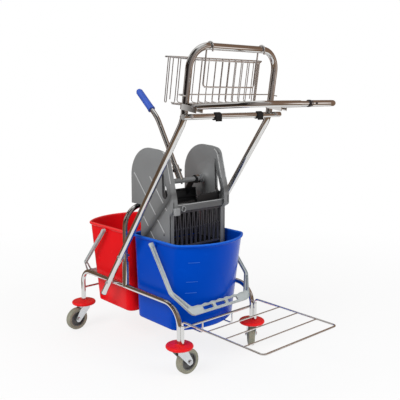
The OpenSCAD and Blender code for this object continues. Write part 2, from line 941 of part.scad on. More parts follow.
module bag_hinge_bolts() {
    half = bracket_gap + bracket_t + seat;
    head = 4;
    color("gainsboro")
        for (side = [-1, 1])
            translate([loop_x, side * handle_y, loop_z])
                rotate([90, 0, 0]) {
                    cylinder(d = bolt_d, h = 2 * half + 2, center = true);
                    for (end = [-half - head, half])
                        translate([0, 0, end])
                            cylinder(d = 2 * bolt_d - 2, h = head);
                }
}

// Wire basket hung on the top bar. Its frame leans with the handle: w runs up the handle, u forward.
// The wires lie side by side with a weld gap where they cross
hook_r = (handle_d + rim_wire) / 2 + 0.5;
basket_u = -hook_r - rim_wire - seat;
basket_back = basket_u - basket_depth;
basket_floor = -basket_rim - basket_h;
floor_wire = rim_wire - 1;
rim_step = (rim_wire + thin_wire) / 2 + seat;
floor_step = (floor_wire + thin_wire) / 2 + seat;
floor_inset = 10;
end_inset = 8;
basket_end = toward([basket_u, basket_front_w], [basket_back, basket_w]);
top_straight = handle_y - handle_corner_r;

// Places on the basket's slanted end, a distance inside its rim
function end_u(y, inset) = basket_u + ((y - basket_front_w) * basket_end[0] - inset) / basket_end[1];
function end_y(u, inset) = basket_front_w + (inset + (u - basket_u) * basket_end[1]) / basket_end[0];

module in_basket() {
    translate([top[0], 0, top[1]])
        rotate([0, lean, 0])
            children();
}

// A closed wire ring at height w, wider at its back: four bars and four bends, with a weld gap between them
module wire_ring(u0, u1, y0, y1, w, d) {
    bend = 6;
    corners = [[u1, -y1, w], [u1, y1, w], [u0, y0, w], [u0, -y0, w]];
    for (i = [0:3]) {
        a = corners[i];
        b = corners[(i + 1) % 4];
        next = corners[(i + 2) % 4];
        start = setback(corners[(i + 3) % 4], a, b, bend) + seat;
        end = setback(a, b, next, bend) + seat;
        bar(a + start * toward(a, b), b - end * toward(a, b), d);
        elbow(a, b, next, d, bend);
    }
}

// Wire hanger: two hooks over the top bar, a leg below each, and a bar with bent ends across the legs
module basket_hanger() {
    low = -126;
    bend = 12;
    stub = 14;
    y = top_straight - 6;
    r = hook_r - 0.01;
    foot = low + bend + 1;
    for (side = [-y, y]) {
        rod([[hook_r, side, -stub], [hook_r, side, hook_r], [-hook_r, side, hook_r], [-hook_r, side, -stub]],
            [r, r], rim_wire);
        bar([-hook_r, side, foot + seat], [-hook_r, side, -stub - seat], rim_wire);
    }
    rod([[-hook_r, -y, foot], [-hook_r, -y, low], [-hook_r, y, low], [-hook_r, y, foot]], [bend, bend], rim_wire);
}

// Rail across the front wires that hooks round both uprights
module basket_rail() {
    w = -150;
    bend = 5;
    u = basket_u - rim_step + floor_step;
    y = handle_y + (handle_d + floor_wire) / 2 + 1;
    back = u + bend + 1;
    rod([[back, -y, w], [u, -y, w], [u, y, w], [back, y, w]], [bend, bend], floor_wire);
    for (side = [-y, y])
        bar([back + seat, side, w], [14, side, w], floor_wire);
}

// An upright wire, a floor wire with bent ends and another upright
module basket_wire(front, back, y, bottom, above, bend) {
    foot = bottom + bend + 1;
    rod([[front, y, foot], [front, y, bottom], [back, y, bottom], [back, y, foot]], [bend, bend], thin_wire);
    for (u = [front, back])
        bar([u, y, foot + seat], [u, y, above], thin_wire);
}

module basket() {
    front = basket_u - rim_step;
    back = basket_back + rim_step;
    bottom = basket_floor + floor_step;
    above = 2 - basket_rim;
    floor_front = front - floor_inset;
    floor_back = back + floor_inset;
    count = floor((basket_w - wire_pitch) / wire_pitch);
    corner_y = basket_w - 22;
    end_gap = (floor_wire / 2 + seat + thin_wire / 2 * basket_end[1]) / -basket_end[0];
    color("silver")
        in_basket() {
            $fn = wire_fn;
            wire_ring(basket_back, basket_u, basket_w, basket_front_w, -basket_rim, rim_wire);
            wire_ring(floor_back, floor_front, end_y(floor_back, end_inset), end_y(floor_front, end_inset),
                basket_floor, floor_wire);
            for (i = [-count:count])
                basket_wire(min(front, end_u(abs(i) * wire_pitch, rim_step)), back, i * wire_pitch, bottom, above, 8);
            for (y = [-corner_y, corner_y])
                basket_wire(end_u(corner_y, rim_step), back, y, bottom, above, thin_wire + 1);
            for (f = [0.35, 0.65]) {
                u = front - f * (front - back);
                y = end_y(u, end_inset) - end_gap;
                bar([u, -y, bottom - thin_wire - seat], [u, y, bottom - thin_wire - seat], thin_wire);
            }
            basket_rail();
            basket_hanger();
        }
}

// Buckets, drawn with the inner end of the rim at x = 0
module slab(points, z) {
    translate([0, 0, z])
        linear_extrude(0.01)
            polygon(points);
}

module bucket_shape() {
    floor_in = bucket_wall + 1;
    w_in = foot_w - bucket_wall;
    difference() {
        union() {
            hull() {
                slab(bucket_outline(0, rim_len, rim_w, corner_r), bucket_h - 0.01);
                slab(bucket_outline(foot_inset, foot_len + foot_inset, foot_w, corner_r), 0);
            }
            translate([0, 0, bucket_h - lip])
                linear_extrude(lip)
                    polygon(bucket_outline(-lip_out, rim_len + lip_out, rim_w + lip_out, corner_r + lip_out));
            for (side = [-1, 1])
                translate([pivot_x, 0, bucket_h - pivot_drop])
                    rotate([-90 * side, 0, 0]) {
                        cylinder(d = pivot_d + 12, h = pivot_w - 0.5);
                        cylinder(d = pivot_d, h = pivot_end);
                    }
        }
        hull() {
            slab(bucket_outline(bucket_wall, rim_len - bucket_wall, rim_w - bucket_wall, corner_r - bucket_wall),
                 bucket_h);
            slab(bucket_outline(foot_inset + bucket_wall, foot_len + foot_inset - bucket_wall, w_in,
                                corner_r - bucket_wall), floor_in);
        }
    }
}

module bucket_blue() {
    color("blue")
        translate([blue_x, 0, bucket_z])
            bucket_shape();
}

module bucket_red() {
    color("red")
        translate([red_x, 0, bucket_z])
            mirror([1, 0, 0])
                bucket_shape();
}

// Bail handle, drawn hanging down from pivots on the Y axis
module bail_shape() {
    shoulder_in = bail_shoulder - 4;
    foot_in = bail_len - grip_h;
    eye_r = pivot_d / 2 + 4.5;
    mid_y = pivot_w + eye_len / 2;
    window_w = 48;
    window_h = grip_h - 17;
    difference() {
        union() {
            translate([-bail_t / 2, 0, 0])
                rotate([0, 90, 0])
                    rotate([0, 0, 0])
                        linear_extrude(bail_t)
                            polygon([
                                [0, -mid_y - eye_len / 2], [bail_shoulder, -bail_w], [bail_len, -grip_w],
                                [bail_len, grip_w], [bail_shoulder, bail_w], [0, mid_y + eye_len / 2],
                                [0, mid_y - eye_len / 2], [shoulder_in, bail_w - arm_w],
                                [foot_in, grip_w - arm_w / 2], [foot_in, arm_w / 2 - grip_w],
                                [shoulder_in, arm_w - bail_w], [0, eye_len / 2 - mid_y]]);
            for (side = [-1, 1])
                translate([0, side * mid_y, 0])
                    rotate([90, 0, 0])
                        cylinder(r = eye_r, h = eye_len, center = true);
        }
        rotate([90, 0, 0])
            cylinder(d = pivot_d + 2 * run_fit, h = 4 * bail_w, center = true);
        for (i = [-1, 0, 1])
            translate([-bail_t, i * (window_w + 12) - window_w / 2, -bail_len + 8])
                cube([2 * bail_t, window_w, window_h]);
    }
}

module bail_blue() {
    color("lightgray")
        translate([blue_x + pivot_x, 0, pivot_z])
            rotate([0, -bail_tilt, 0])
                bail_shape();
}

module bail_red() {
    color("lightgray")
        translate([red_x - pivot_x, 0, pivot_z])
            rotate([0, bail_tilt, 0])
                bail_shape();
}

// Wringer, drawn from the middle of the hoop's top bar
module in_wringer() {
    translate([post_x, 0, hoop_z])
        children();
}

plate_centre = [plate_r - frame_d, plate_top - plate_r];
hook_z = frame_d / 2 + side_gap;
front_top = [plate_front - 37, plate_top - 31];
front_edge = [
    [plate_front - 2, 55], [plate_front, 40], [plate_front, 10], [plate_front - 5, 2], [post_front, -5],
    [post_front, -plate_drop]];
plate_back = 34;
plate_outline = concat(
    [[-frame_d, hook_z]],
    arc(plate_centre, plate_r, 180, 90, 16),
    [[front_top[0] - 26, plate_top - 6]],
    arc([front_top[0] - 16, front_top[1] + 1], 20, 72, 18, 4),
    front_edge,
    [[plate_back + 24, -plate_drop], [plate_back + 2, -95], [plate_back, hook_z]]);

module plate_prism(points, y0, t) {
    translate([0, y0 + t, 0])
        rotate([90, 0, 0])
            linear_extrude(t)
                polygon(points);
}

// A raised straight rib on the plate's outer face
module plate_rib(a, b, y0, t) {
    rib_w = 3;
    n = rib_w / 2 * unit([a[1] - b[1], b[0] - a[0]]);
    plate_prism([a - n, b - n, b + n, a + n], y0, t);
}

module plate_shape() {
    outer = wringer_w / 2;
    rib_out = 1.5;
    saddle_h = 14;
    saddle_y = leg_y - hoop_r - 16;
    slot_top = [156, 158];
    slot_r = 11;
    slot_foot = [173, 59];
    boss_d = shaft_d + 16;
    crease_x = 80;
    band = concat([front_top], front_edge);
    difference() {
        union() {
            plate_prism(plate_outline, plate_in, plate_t);
            plate_prism([front_top, front_top - [flange_w, 0], [plate_front - flange_w, 55],
                         [plate_front - flange_w, 10], [plate_front - 5, 2], [plate_front, 10],
                         [plate_front, 40], [plate_front - 2, 55]], outer, flange_out);
            plate_prism([[plate_front - 12, 50], [post_front, -5], [post_front, -plate_drop],
                         [crease_x, -plate_drop], [crease_x, -90]], outer, flange_out - 1);
            plate_prism([[frame_d, hook_z], [frame_d, hook_z + saddle_h], [-frame_d, hook_z + saddle_h],
                         [-frame_d, hook_z]], saddle_y, plate_in - saddle_y + 1);
            plate_prism(concat(band, [for (i = [len(band) - 1:-1:0]) band[i] - [post_t, 0]]),
                        plate_in - post_w, post_w + 1);
            plate_rib([1, 121], [133, -26], outer, rib_out);
            plate_rib([91, 115], [183, 10], outer, rib_out);
            plate_rib([54, -30], [104, -86], outer, rib_out);
            translate([shaft_x, collar_y + 4, shaft_z])
                rotate([-90, 0, 0])
                    cylinder(d = boss_d, h = plate_in - collar_y - 3);
        }
        translate([shaft_x, 0, shaft_z])
            rotate([-90, 0, 0])
                cylinder(d = shaft_d + 2 * run_fit, h = plate_in + plate_t - 2);
        plate_prism(concat([slot_top], arc(slot_foot, slot_r, 180, 380, 12)), plate_in - 1, plate_t + flange_out + 2);
    }
}

module wringer_plate_right() {
    color("gray")
        in_wringer()
            plate_shape();
}

module wringer_plate_left() {
    color("gray")
        in_wringer()
            mirror([0, 1, 0])
                plate_shape();
}

// Beam across the front, between the plates
module wringer_beam() {
    half = plate_in - seat;
    color("gray")
        in_wringer()
            translate([beam_front - beam_t, -half, beam_z])
                cube([beam_t, 2 * half, beam_h]);
}

// Square end lug with a collar on the beam's left end
module wringer_lug() {
    lug = 22;
    lug_out = 12;
    ring_d = 20;
    ring_y = 44 - plate_in;
    color("darkgray")
        in_wringer() {
            translate([plate_front + seat, -wringer_w / 2, beam_z - 7])
                cube([lug_out, lug, lug + 3]);
            translate([beam_front + seat, ring_y, beam_z + beam_h / 2 - 2])
                rotate([0, 90, 0])
                    cylinder(d = ring_d, h = lug_out / 2);
        }
}

// Slatted grid that the mop is pressed against
module wringer_grid() {
    half = plate_in - seat;
    frame_h = 10;
    pitch = (2 * half - 12) / slat_n;
    color("dimgray")
        in_wringer()
            translate([grid_x - beam_t / 4, 0, beam_z - seat - grid_h]) {
                translate([0, -half, grid_h - frame_h])
                    cube([beam_t / 2, 2 * half, frame_h]);
                for (i = [0:slat_n])
                    translate([0, -half + 4 + i * pitch, 0])
                        cube([beam_t / 2, 4, grid_h]);
                translate([0, -half, grid_h / 2 - 3])
                    cube([beam_t / 4, 2 * half, 6]);
            }
}

// Drain floor between the plates
module drain_floor() {
    half = plate_in - seat;
    x0 = 58;
    hole_d = 10;
    nx = 5;
    ny = 7;
    x1 = post_front - post_t - seat;
    dx = (x1 - x0) / nx;
    dy = 2 * half / ny;
    color("dimgray")
        in_wringer()
            difference() {
                translate([x0, -half, floor_z])
                    cube([x1 - x0, 2 * half, floor_t]);
                for (i = [0:nx - 1])
                    for (j = [0:ny - 1])
                        translate([x0 + (i + 0.5) * dx, (j + 0.5) * dy - half, floor_z - 1])
                            cylinder(d = hole_d, h = floor_t + 2);
            }
}

// Press shaft with its plate and lever
module in_press() {
    in_wringer()
        translate([shaft_x, 0, shaft_z])
            children();
}

module press_shaft() {
    half = plate_in + plate_t - 3;
    color("gray")
        in_press()
            difference() {
                bar([0, -half, 0], [0, half, 0], shaft_d);
                in_lever()
                    cylinder(d = bolt_d + 2 * seat, h = 2 * shaft_d, center = true);
            }
}

module shaft_collars() {
    collar_w = 8;
    color("silver")
        in_press()
            for (side = [-1, 1])
                difference() {
                    bar([0, side * (collar_y - collar_w), 0], [0, side * collar_y, 0], shaft_d + 12);
                    bar([0, -plate_in, 0], [0, plate_in, 0], shaft_d + 2 * seat);
                }
}

// Ribbed plate that swings towards the grid
module press_plate() {
    half = plate_in - 12;
    back = 44;
    foot_back = 18;
    upper = 38;
    rib = 4;
    rib_n = 6;
    arm_y = collar_y - 24;
    rise = (press_len - upper) / rib_n;
    slope = (back - foot_back) / (press_len - upper);
    color("black")
        in_press()
            difference() {
                union() {
                    plate_prism([[-back, -upper], [-foot_back, -press_len], [-foot_back - press_t, -press_len],
                                 [-back - press_t, -upper]], -half, 2 * half);
                    for (i = [0:rib_n - 1])
                        plate_prism([[slope * i * rise - back - 1, -upper - i * rise],
                                     [slope * i * rise - back + rib, -upper - i * rise - 4],
                                     [slope * i * rise - back - 1, -upper - i * rise - 9]], -half, 2 * half);
                    for (side = [-1, 1])
                        plate_prism([[-10, -14], [12, -14], [14, 4], [0, 15], [-14, 6], [-back - press_t, -upper - 2],
                                     [-back - press_t, -upper - 30], [-back, -upper - 30]],
                                    side * arm_y - 4, 8);
                }
                bar([0, -plate_in, 0], [0, plate_in, 0], shaft_d + 2 * seat);
            }
}

module in_lever() {
    rotate([0, -lever_tilt, 0])
        children();
}

socket_len = 58;
lever_foot = shaft_d / 2 + 6;

// Steel socket on the shaft that takes the lever
module lever_socket() {
    wall = 3;
    color("silver")
        in_press()
            in_lever()
                difference() {
                    cylinder(d = lever_d + 2 * wall, h = socket_len);
                    translate([0, 0, lever_foot])
                        cylinder(d = lever_d + 2 * seat, h = socket_len);
                    rotate([90, 0, 0])
                        cylinder(d = shaft_d + 2 * seat, h = 3 * lever_d, center = true);
                    translate([0, 0, -shaft_d])
                        cylinder(d = bolt_d + 2 * seat, h = 2 * socket_len);
                    lever_bolt_hole();
                }
}

module lever_bolt_hole() {
    translate([0, 0, socket_len - 18])
        rotate([90, 0, 0])
            cylinder(d = bolt_d + 2 * seat, h = 4 * lever_d, center = true);
}

module lever_bolt() {
    out = lever_d / 2 + 3 + seat;
    nut = 6;
    color("dimgray")
        in_press()
            in_lever() {
                translate([0, 0, socket_len - 18])
                    rotate([90, 0, 0]) {
                        cylinder(d = bolt_d, h = 2 * out + nut, center = true);
                        for (end = [-out - nut, out])
                            translate([0, 0, end])
                                cylinder(d = 2 * bolt_d - 1, h = nut);
                    }
                translate([0, 0, -shaft_d / 2 - 4])
                    cylinder(d = bolt_d, h = shaft_d / 2 + lever_foot + 2);
            }
}

lever_bend_r = 150;
lever_setback = lever_bend_r * tan(lever_bend / 2);
lever_start = lever_foot + 3;
lever_end = 5;

module lever_tube() {
    color("silver")
        in_press()
            in_lever()
                difference() {
                    translate([0, 0, lever_start])
                        sweep([[lever_len - lever_start - lever_setback, lever_bend, lever_bend_r, 0],
                               [grip_start + grip_len - lever_end - lever_setback]], lever_d, lever_d - 2 * tube_wall);
                    lever_bolt_hole();
                }
}

module in_grip() {
    in_press()
        in_lever()
            translate([0, 0, lever_len])
                rotate([0, -lever_bend, 0])
                    translate([0, 0, grip_start])
                        children();
}

module lever_grip() {
    dome = 8;
    collar = 4;
    color("royalblue")
        in_grip()
            difference() {
                union() {
                    cylinder(d = grip_d, h = grip_len - dome);
                    translate([0, 0, grip_len - dome])
                        cylinder(d1 = grip_d, d2 = grip_d - 8, h = dome);
                    cylinder(d = grip_d + 2, h = collar);
                }
                translate([0, 0, -1])
                    cylinder(d = lever_d + 2 * seat, h = grip_len - lever_end + seat + 1);
            }
}

side_frame_left();
side_frame_right();
front_cross_rail();
rear_cross_rail();
bucket_rods();
post_sockets();
wringer_hoop();
push_handle();
handle_plugs();
handle_bolts();
tray_sockets();
leg_plugs();
bumpers();
tray();
bag_crossbar();
crossbar_saddles();
crossbar_bolts();
crossbar_caps();
bag_clip_left();
bag_clip_right();
bag_brackets();
bag_loop_left();
bag_loop_right();
bag_loop_joiner();
bag_loop_bolts();
bag_hinge_bolts();
basket();
bucket_red();
bucket_blue();
bail_red();
bail_blue();
wringer_plate_left();
wringer_plate_right();
wringer_beam();
wringer_lug();
wringer_grid();
drain_floor();
press_shaft();
shaft_collars();
press_plate();
lever_socket();
lever_bolt();
lever_tube();
lever_grip();
fork_fl();
axle_fl();
hub_fl();
tyre_fl();
fork_fr();
axle_fr();
hub_fr();
tyre_fr();
fork_rl();
axle_rl();
hub_rl();
tyre_rl();
fork_rr();
axle_rr();
hub_rr();
tyre_rr();
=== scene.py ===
"""Looks of the double mop bucket trolley: materials, finer pieces, light and camera."""

import json
import math

import bmesh
import bpy
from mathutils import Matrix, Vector
from mathutils.geometry import tessellate_polygon


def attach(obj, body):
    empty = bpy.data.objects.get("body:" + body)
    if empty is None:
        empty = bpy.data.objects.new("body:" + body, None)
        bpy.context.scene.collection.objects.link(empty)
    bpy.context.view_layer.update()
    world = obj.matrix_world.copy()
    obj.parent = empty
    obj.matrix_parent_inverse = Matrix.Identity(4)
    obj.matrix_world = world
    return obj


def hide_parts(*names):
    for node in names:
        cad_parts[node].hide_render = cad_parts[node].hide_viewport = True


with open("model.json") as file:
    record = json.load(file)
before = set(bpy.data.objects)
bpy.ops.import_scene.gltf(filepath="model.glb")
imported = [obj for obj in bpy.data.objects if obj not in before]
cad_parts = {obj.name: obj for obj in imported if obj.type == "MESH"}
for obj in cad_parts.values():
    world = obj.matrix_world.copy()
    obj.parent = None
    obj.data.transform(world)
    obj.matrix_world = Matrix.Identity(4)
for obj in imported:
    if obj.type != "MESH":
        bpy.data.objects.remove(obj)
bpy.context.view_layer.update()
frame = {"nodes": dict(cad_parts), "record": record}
scene = bpy.context.scene
nodes = frame["nodes"]


# Shader helpers. Each takes a node tree and gives back an output socket.

MIX_A, MIX_B, MIX_RESULT = 6, 7, 2  # colour sockets of the Mix node


def object_space(nt):
    return nt.nodes.new("ShaderNodeTexCoord").outputs["Object"]


def split(nt, vector):
    """X, Y and Z of a vector."""
    node = nt.nodes.new("ShaderNodeSeparateXYZ")
    nt.links.new(vector, node.inputs[0])
    return node.outputs["X"], node.outputs["Y"], node.outputs["Z"]


def calc(nt, operation, a, b):
    node = nt.nodes.new("ShaderNodeMath")
    node.operation = operation
    nt.links.new(a, node.inputs[0])
    nt.links.new(b, node.inputs[1])
    return node.outputs[0]


def noise(nt, scale, detail, rough=0.5, stretch=None):
    """Noise in object space; stretch scales the three axes."""
    vector = object_space(nt)
    if stretch:
        mapping = nt.nodes.new("ShaderNodeMapping")
        mapping.inputs["Scale"].default_value = stretch
        nt.links.new(vector, mapping.inputs["Vector"])
        vector = mapping.outputs["Vector"]
    tex = nt.nodes.new("ShaderNodeTexNoise")
    tex.inputs["Scale"].default_value = scale
    tex.inputs["Detail"].default_value = detail
    tex.inputs["Roughness"].default_value = rough
    nt.links.new(vector, tex.inputs["Vector"])
    return tex.outputs["Fac"]


def spread(nt, value, low, high, lo_in=0.3, hi_in=0.7):
    """Maps lo_in..hi_in onto low..high and holds the ends."""
    node = nt.nodes.new("ShaderNodeMapRange")
    node.inputs["From Min"].default_value = lo_in
    node.inputs["From Max"].default_value = hi_in
    node.inputs["To Min"].default_value = low
    node.inputs["To Max"].default_value = high
    nt.links.new(value, node.inputs["Value"])
    return node.outputs["Result"]


def ramp(nt, value, stops, easing="LINEAR"):
    """Colour ramp through (position, colour) stops."""
    node = nt.nodes.new("ShaderNodeValToRGB")
    node.color_ramp.interpolation = easing
    elements = node.color_ramp.elements
    for k, (pos, colour) in enumerate(stops):
        e = elements[k] if k < 2 else elements.new(pos)
        e.position = pos
        e.color = (*colour, 1)
    nt.links.new(value, node.inputs["Fac"])
    return node.outputs["Color"]


def two_tone(nt, value, dark, light, lo_in=0.3, hi_in=0.7):
    return ramp(nt, value, ((lo_in, dark), (hi_in, light)))


def blend(nt, kind, a, b, factor=None):
    """Mixes b into a; b is a socket or a plain colour."""
    mix = nt.nodes.new("ShaderNodeMix")
    mix.data_type = "RGBA"
    mix.blend_type = kind
    if factor is None:
        mix.inputs["Factor"].default_value = 1.0
    else:
        nt.links.new(factor, mix.inputs["Factor"])
    nt.links.new(a, mix.inputs[MIX_A])
    if isinstance(b, tuple):
        mix.inputs[MIX_B].default_value = (*b, 1)
    else:
        nt.links.new(b, mix.inputs[MIX_B])
    return mix.outputs[MIX_RESULT]


def mix_shader(nt, factor, first, second):
    node = nt.nodes.new("ShaderNodeMixShader")
    nt.links.new(factor, node.inputs["Fac"])
    nt.links.new(first, node.inputs[1])
    nt.links.new(second, node.inputs[2])
    return node.outputs[0]


# Materials

BUMP_DEPTH = 0.001
LEAST_ROUGH = 0.02


def shade(colour, k):
    return tuple(min(1.0, max(0.0, c * k)) for c in colour)


def material(name, colour, rough, metallic=0.0, vary=0.05, blotch=6.0, rough_vary=0.04, grain=500.0,
             bump=0.03, specular=0.5, tint=(1, 1, 1)):
    """Colour and roughness vary in blotches, and a fine grain lifts the surface."""
    m = bpy.data.materials.new(name)
    m.use_nodes = True
    nt = m.node_tree
    p = nt.nodes["Principled BSDF"]
    p.inputs["Metallic"].default_value = metallic
    p.inputs["Specular IOR Level"].default_value = specular
    p.inputs["Specular Tint"].default_value = (*tint, 1)
    tone = two_tone(nt, noise(nt, blotch, 4), shade(colour, 1 - vary), shade(colour, 1 + vary))
    nt.links.new(tone, p.inputs["Base Color"])
    low, high = max(LEAST_ROUGH, rough - rough_vary), rough + rough_vary
    nt.links.new(spread(nt, noise(nt, blotch * 4, 5, 0.6), low, high), p.inputs["Roughness"])
    b = nt.nodes.new("ShaderNodeBump")
    b.inputs["Strength"].default_value = bump
    b.inputs["Distance"].default_value = BUMP_DEPTH
    nt.links.new(noise(nt, grain, 2), b.inputs["Height"])
    nt.links.new(b.outputs["Normal"], p.inputs["Normal"])
    return m


chrome = material("chrome", (0.69, 0.69, 0.68), 0.06, metallic=1.0, vary=0.02, blotch=9,
                  rough_vary=0.035, grain=60, bump=0.02)
zinc = material("zinc", (0.60, 0.61, 0.63), 0.30, metallic=1.0, vary=0.10, blotch=40,
                rough_vary=0.08, bump=0.04)
fork_steel = material("fork_steel", (0.66, 0.69, 0.71), 0.27, metallic=1.0, vary=0.08, blotch=30,
                      rough_vary=0.07)
dark_steel = material("dark_steel", (0.10, 0.10, 0.11), 0.35, metallic=1.0, vary=0.15, blotch=60,
                      bump=0.05)
wire_chrome = material("wire_chrome", (0.83, 0.83, 0.83), 0.20, metallic=1.0, vary=0.02, blotch=9,
                       bump=0.02, grain=60)
red = material("red_plastic", (0.76, 0.006, 0.010), 0.24, blotch=5, bump=0.02, grain=700,
               specular=0.3, tint=(1.0, 0.06, 0.08))
bumper_red = material("bumper_red", (0.76, 0.016, 0.018), 0.30, vary=0.06, blotch=12,
                      specular=0.3, tint=(1.0, 0.2, 0.2))
blue = material("blue_plastic", (0.000, 0.056, 0.455), 0.24, vary=0.06, blotch=5, bump=0.02,
                grain=700, specular=0.12, tint=(0.06, 0.30, 1.0))
mark_blue = material("mark_blue", (0.014, 0.105, 0.53), 0.30, vary=0.06, blotch=5, bump=0.02,
                     grain=700, specular=0.3)
grip_blue = material("grip_blue", (0.030, 0.085, 0.42), 0.48, vary=0.08, blotch=30, bump=0.12,
                     grain=900, specular=0.3)
light_grey = material("light_grey", (0.45, 0.49, 0.485), 0.36, blotch=14, bump=0.04, grain=600)
mid_grey = material("mid_grey", (0.185, 0.190, 0.193), 0.43, vary=0.06, blotch=9, rough_vary=0.06,
                    bump=0.06, grain=1100)
lug_grey = material("lug_grey", (0.255, 0.262, 0.266), 0.38, blotch=9, bump=0.05, grain=1100)
# Lighter grey that paints highlights on the plates' ribs and beads and on the beam's lip.
rib_highlight_grey = material("rib_highlight_grey", (0.46, 0.47, 0.47), 0.32, blotch=20, grain=900)
beam_grey = material("beam_grey", (0.115, 0.118, 0.122), 0.40, vary=0.06, blotch=9,
                     rough_vary=0.06, bump=0.06, grain=1100)
# Near black: painted shade inside the slots, and the screw heads.
shade_and_screw_dark = material("shade_and_screw_dark", (0.042, 0.042, 0.044), 0.5, vary=0.15, blotch=20, bump=0.05,
                     grain=900)
black_plastic = material("black_plastic", (0.010, 0.010, 0.011), 0.42, vary=0.2, blotch=12,
                         bump=0.06, grain=900, specular=0.25)
slat_grey = material("slat_grey", (0.050, 0.050, 0.060), 0.30, vary=0.12, blotch=12, bump=0.05,
                     grain=900, specular=0.7)
tyre_grey = material("tyre_grey", (0.280, 0.278, 0.210), 0.62, vary=0.10, blotch=25,
                     rough_vary=0.08, bump=0.15, grain=900)
hub_grey = material("hub_grey", (0.10, 0.10, 0.098), 0.45, vary=0.07, blotch=30, bump=0.05,
                    grain=800)


def recoloured(base, name):
    """Copy of a material with its node tree, its colour input and the socket that feeds it."""
    m = base.copy()
    m.name = name
    target = m.node_tree.nodes["Principled BSDF"].inputs["Base Color"]
    return m, m.node_tree, target, target.links[0].from_socket


def painted_crease_shade(base, name, normal, at, stops):
    """Material with painted shade: it darkens near a plane; stops are (metres from it, share of the
    colour).
    """
    m, nt, target, colour = recoloured(base, name)
    dot = nt.nodes.new("ShaderNodeVectorMath")
    dot.operation = "DOT_PRODUCT"
    dot.inputs[1].default_value = normal
    nt.links.new(object_space(nt), dot.inputs[0])
    low, high = at + stops[0][0], at + stops[-1][0]
    shares = [((at + d - low) / (high - low), (share,) * 3) for d, share in stops]
    where = spread(nt, dot.outputs["Value"], 0, 1, low, high)
    nt.links.new(blend(nt, "MULTIPLY", colour, ramp(nt, where, shares, "EASE")), target)
    return m


def painted_rim_highlight(base, name, highlight_colour, low, high):
    """Material with a painted highlight: it turns to another colour between two heights in metres.
    """
    m, nt, target, colour = recoloured(base, name)
    height = split(nt, object_space(nt))[2]
    nt.links.new(blend(nt, "MIX", colour, highlight_colour, spread(nt, height, 0, 1, low, high)), target)
    return m


# Finish of the CAD nodes by material slot, and of a few by name
FINISH = {
    "chrome": chrome, "bolts": zinc, "dark_bolts": dark_steel, "bracket": chrome,
    "fork": fork_steel, "tyre": tyre_grey, "hub": hub_grey, "plug": black_plastic,
    "bumper": bumper_red, "red": red, "blue": blue, "bail": light_grey, "wringer": mid_grey,
    "lug": mid_grey, "grid": black_plastic, "shaft": mid_grey, "grip": grip_blue,
    "clip": black_plastic,
}
SPECIAL = {"basket": wire_chrome, "tray": wire_chrome, "shaft_collars": zinc}
for sub in frame["record"]["subparts"]:
    mesh = nodes[sub["node"]].data
    mesh.materials.clear()
    mesh.materials.append(SPECIAL.get(sub["node"], FINISH[sub["material_slot"]]))


# Mesh helpers. Lengths are in millimetres here and become metres in piece().

MM = 0.001
WELD = 1e-6
LEAST_MITRE, LEAST_TURN, FILLET_SHARE = 0.25, 0.02, 0.45


def piece(name, shape, finish, body, stands_for=(), sharp=36):
    """Makes an object of a shape; edges sharper than that angle in degrees stay creased."""
    mesh = bpy.data.meshes.new(name)
    mesh.from_pydata([[c * MM for c in v] for v in shape.verts], [], shape.faces)
    mesh.materials.append(finish)
    bm = bmesh.new()
    bm.from_mesh(mesh)
    bmesh.ops.remove_doubles(bm, verts=bm.verts, dist=WELD)
    bmesh.ops.recalc_face_normals(bm, faces=bm.faces)
    bm.to_mesh(mesh)
    bm.free()
    mesh.shade_smooth()
    mesh.set_sharp_from_angle(angle=math.radians(sharp))
    obj = bpy.data.objects.new(name, mesh)
    scene.collection.objects.link(obj)
    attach(obj, body)
    if stands_for:
        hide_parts(*stands_for)


class Shape:
    """Collects vertices and faces of one piece."""

    def __init__(self):
        self.verts = []
        self.faces = []

    def add(self, verts, faces):
        base = len(self.verts)
        self.verts.extend(tuple(v) for v in verts)
        self.faces.extend(tuple(base + i for i in f) for f in faces)

    def rings(self, rings, closed=True):
        """Skin over closed rings of equal length, with a fan at both ends if closed."""
        n = len(rings[0])
        verts = [v for ring in rings for v in ring]
        faces = []
        for k in range(len(rings) - 1):
            for i in range(n):
                j = (i + 1) % n
                faces.append((k * n + i, k * n + j, (k + 1) * n + j, (k + 1) * n + i))
        for k in (0, len(rings) - 1) if closed else ():
            verts.append(tuple(sum(v[a] for v in rings[k]) / n for a in range(3)))
            faces.extend((k * n + i, k * n + (i + 1) % n, len(verts) - 1) for i in range(n))
        self.add(verts, faces)

    def plate(self, loops, thick, edge, place, steps=3):
        """Flat plate with rounded edges. The outline runs anticlockwise, each hole clockwise."""
        half = thick / 2
        levels = []
        for k in range(steps + 1):
            a = math.pi / 2 * k / steps
            levels.append((edge * (1 - math.sin(a)), edge * (1 - math.cos(a)) - half))
        levels += [(inset, -w) for inset, w in reversed(levels)]
        flat = [[Vector((*p, 0)) for p in offset_loop(loop, edge)] for loop in loops]
        caps = tessellate_polygon(flat)
        for w in (-half, half):
            self.add([place(p.x, p.y, w) for loop in flat for p in loop], caps)
        for loop in loops:
            rings = [[place(*p, w) for p in offset_loop(loop, inset)] for inset, w in levels]
            self.rings(rings, False)

    def turned(self, profile, place, n, bored=False):
        """Solid of revolution from (radius, height) pairs; a bored one closes on itself."""
        turns = [(math.cos(2 * math.pi * i / n), math.sin(2 * math.pi * i / n)) for i in range(n)]
        ring_list = [[place(r * c, r * s, h) for c, s in turns] for r, h in profile]
        if bored:
            ring_list.append(ring_list[0])
        self.rings(ring_list, not bored)

    def strip(self, path, section, up):
        """Sweeps a closed 2D section along a path; up is the section's second axis."""
        ring_list = []
        last = len(path) - 1
        for i, p in enumerate(path):
            d = (Vector(path[min(i + 1, last)]) - Vector(path[max(i - 1, 0)])).normalized()
            side = d.cross(Vector(up)).normalized()
            top = side.cross(d)
            ring_list.append([Vector(p) + side * s + top * t for s, t in section])
        self.rings(ring_list)


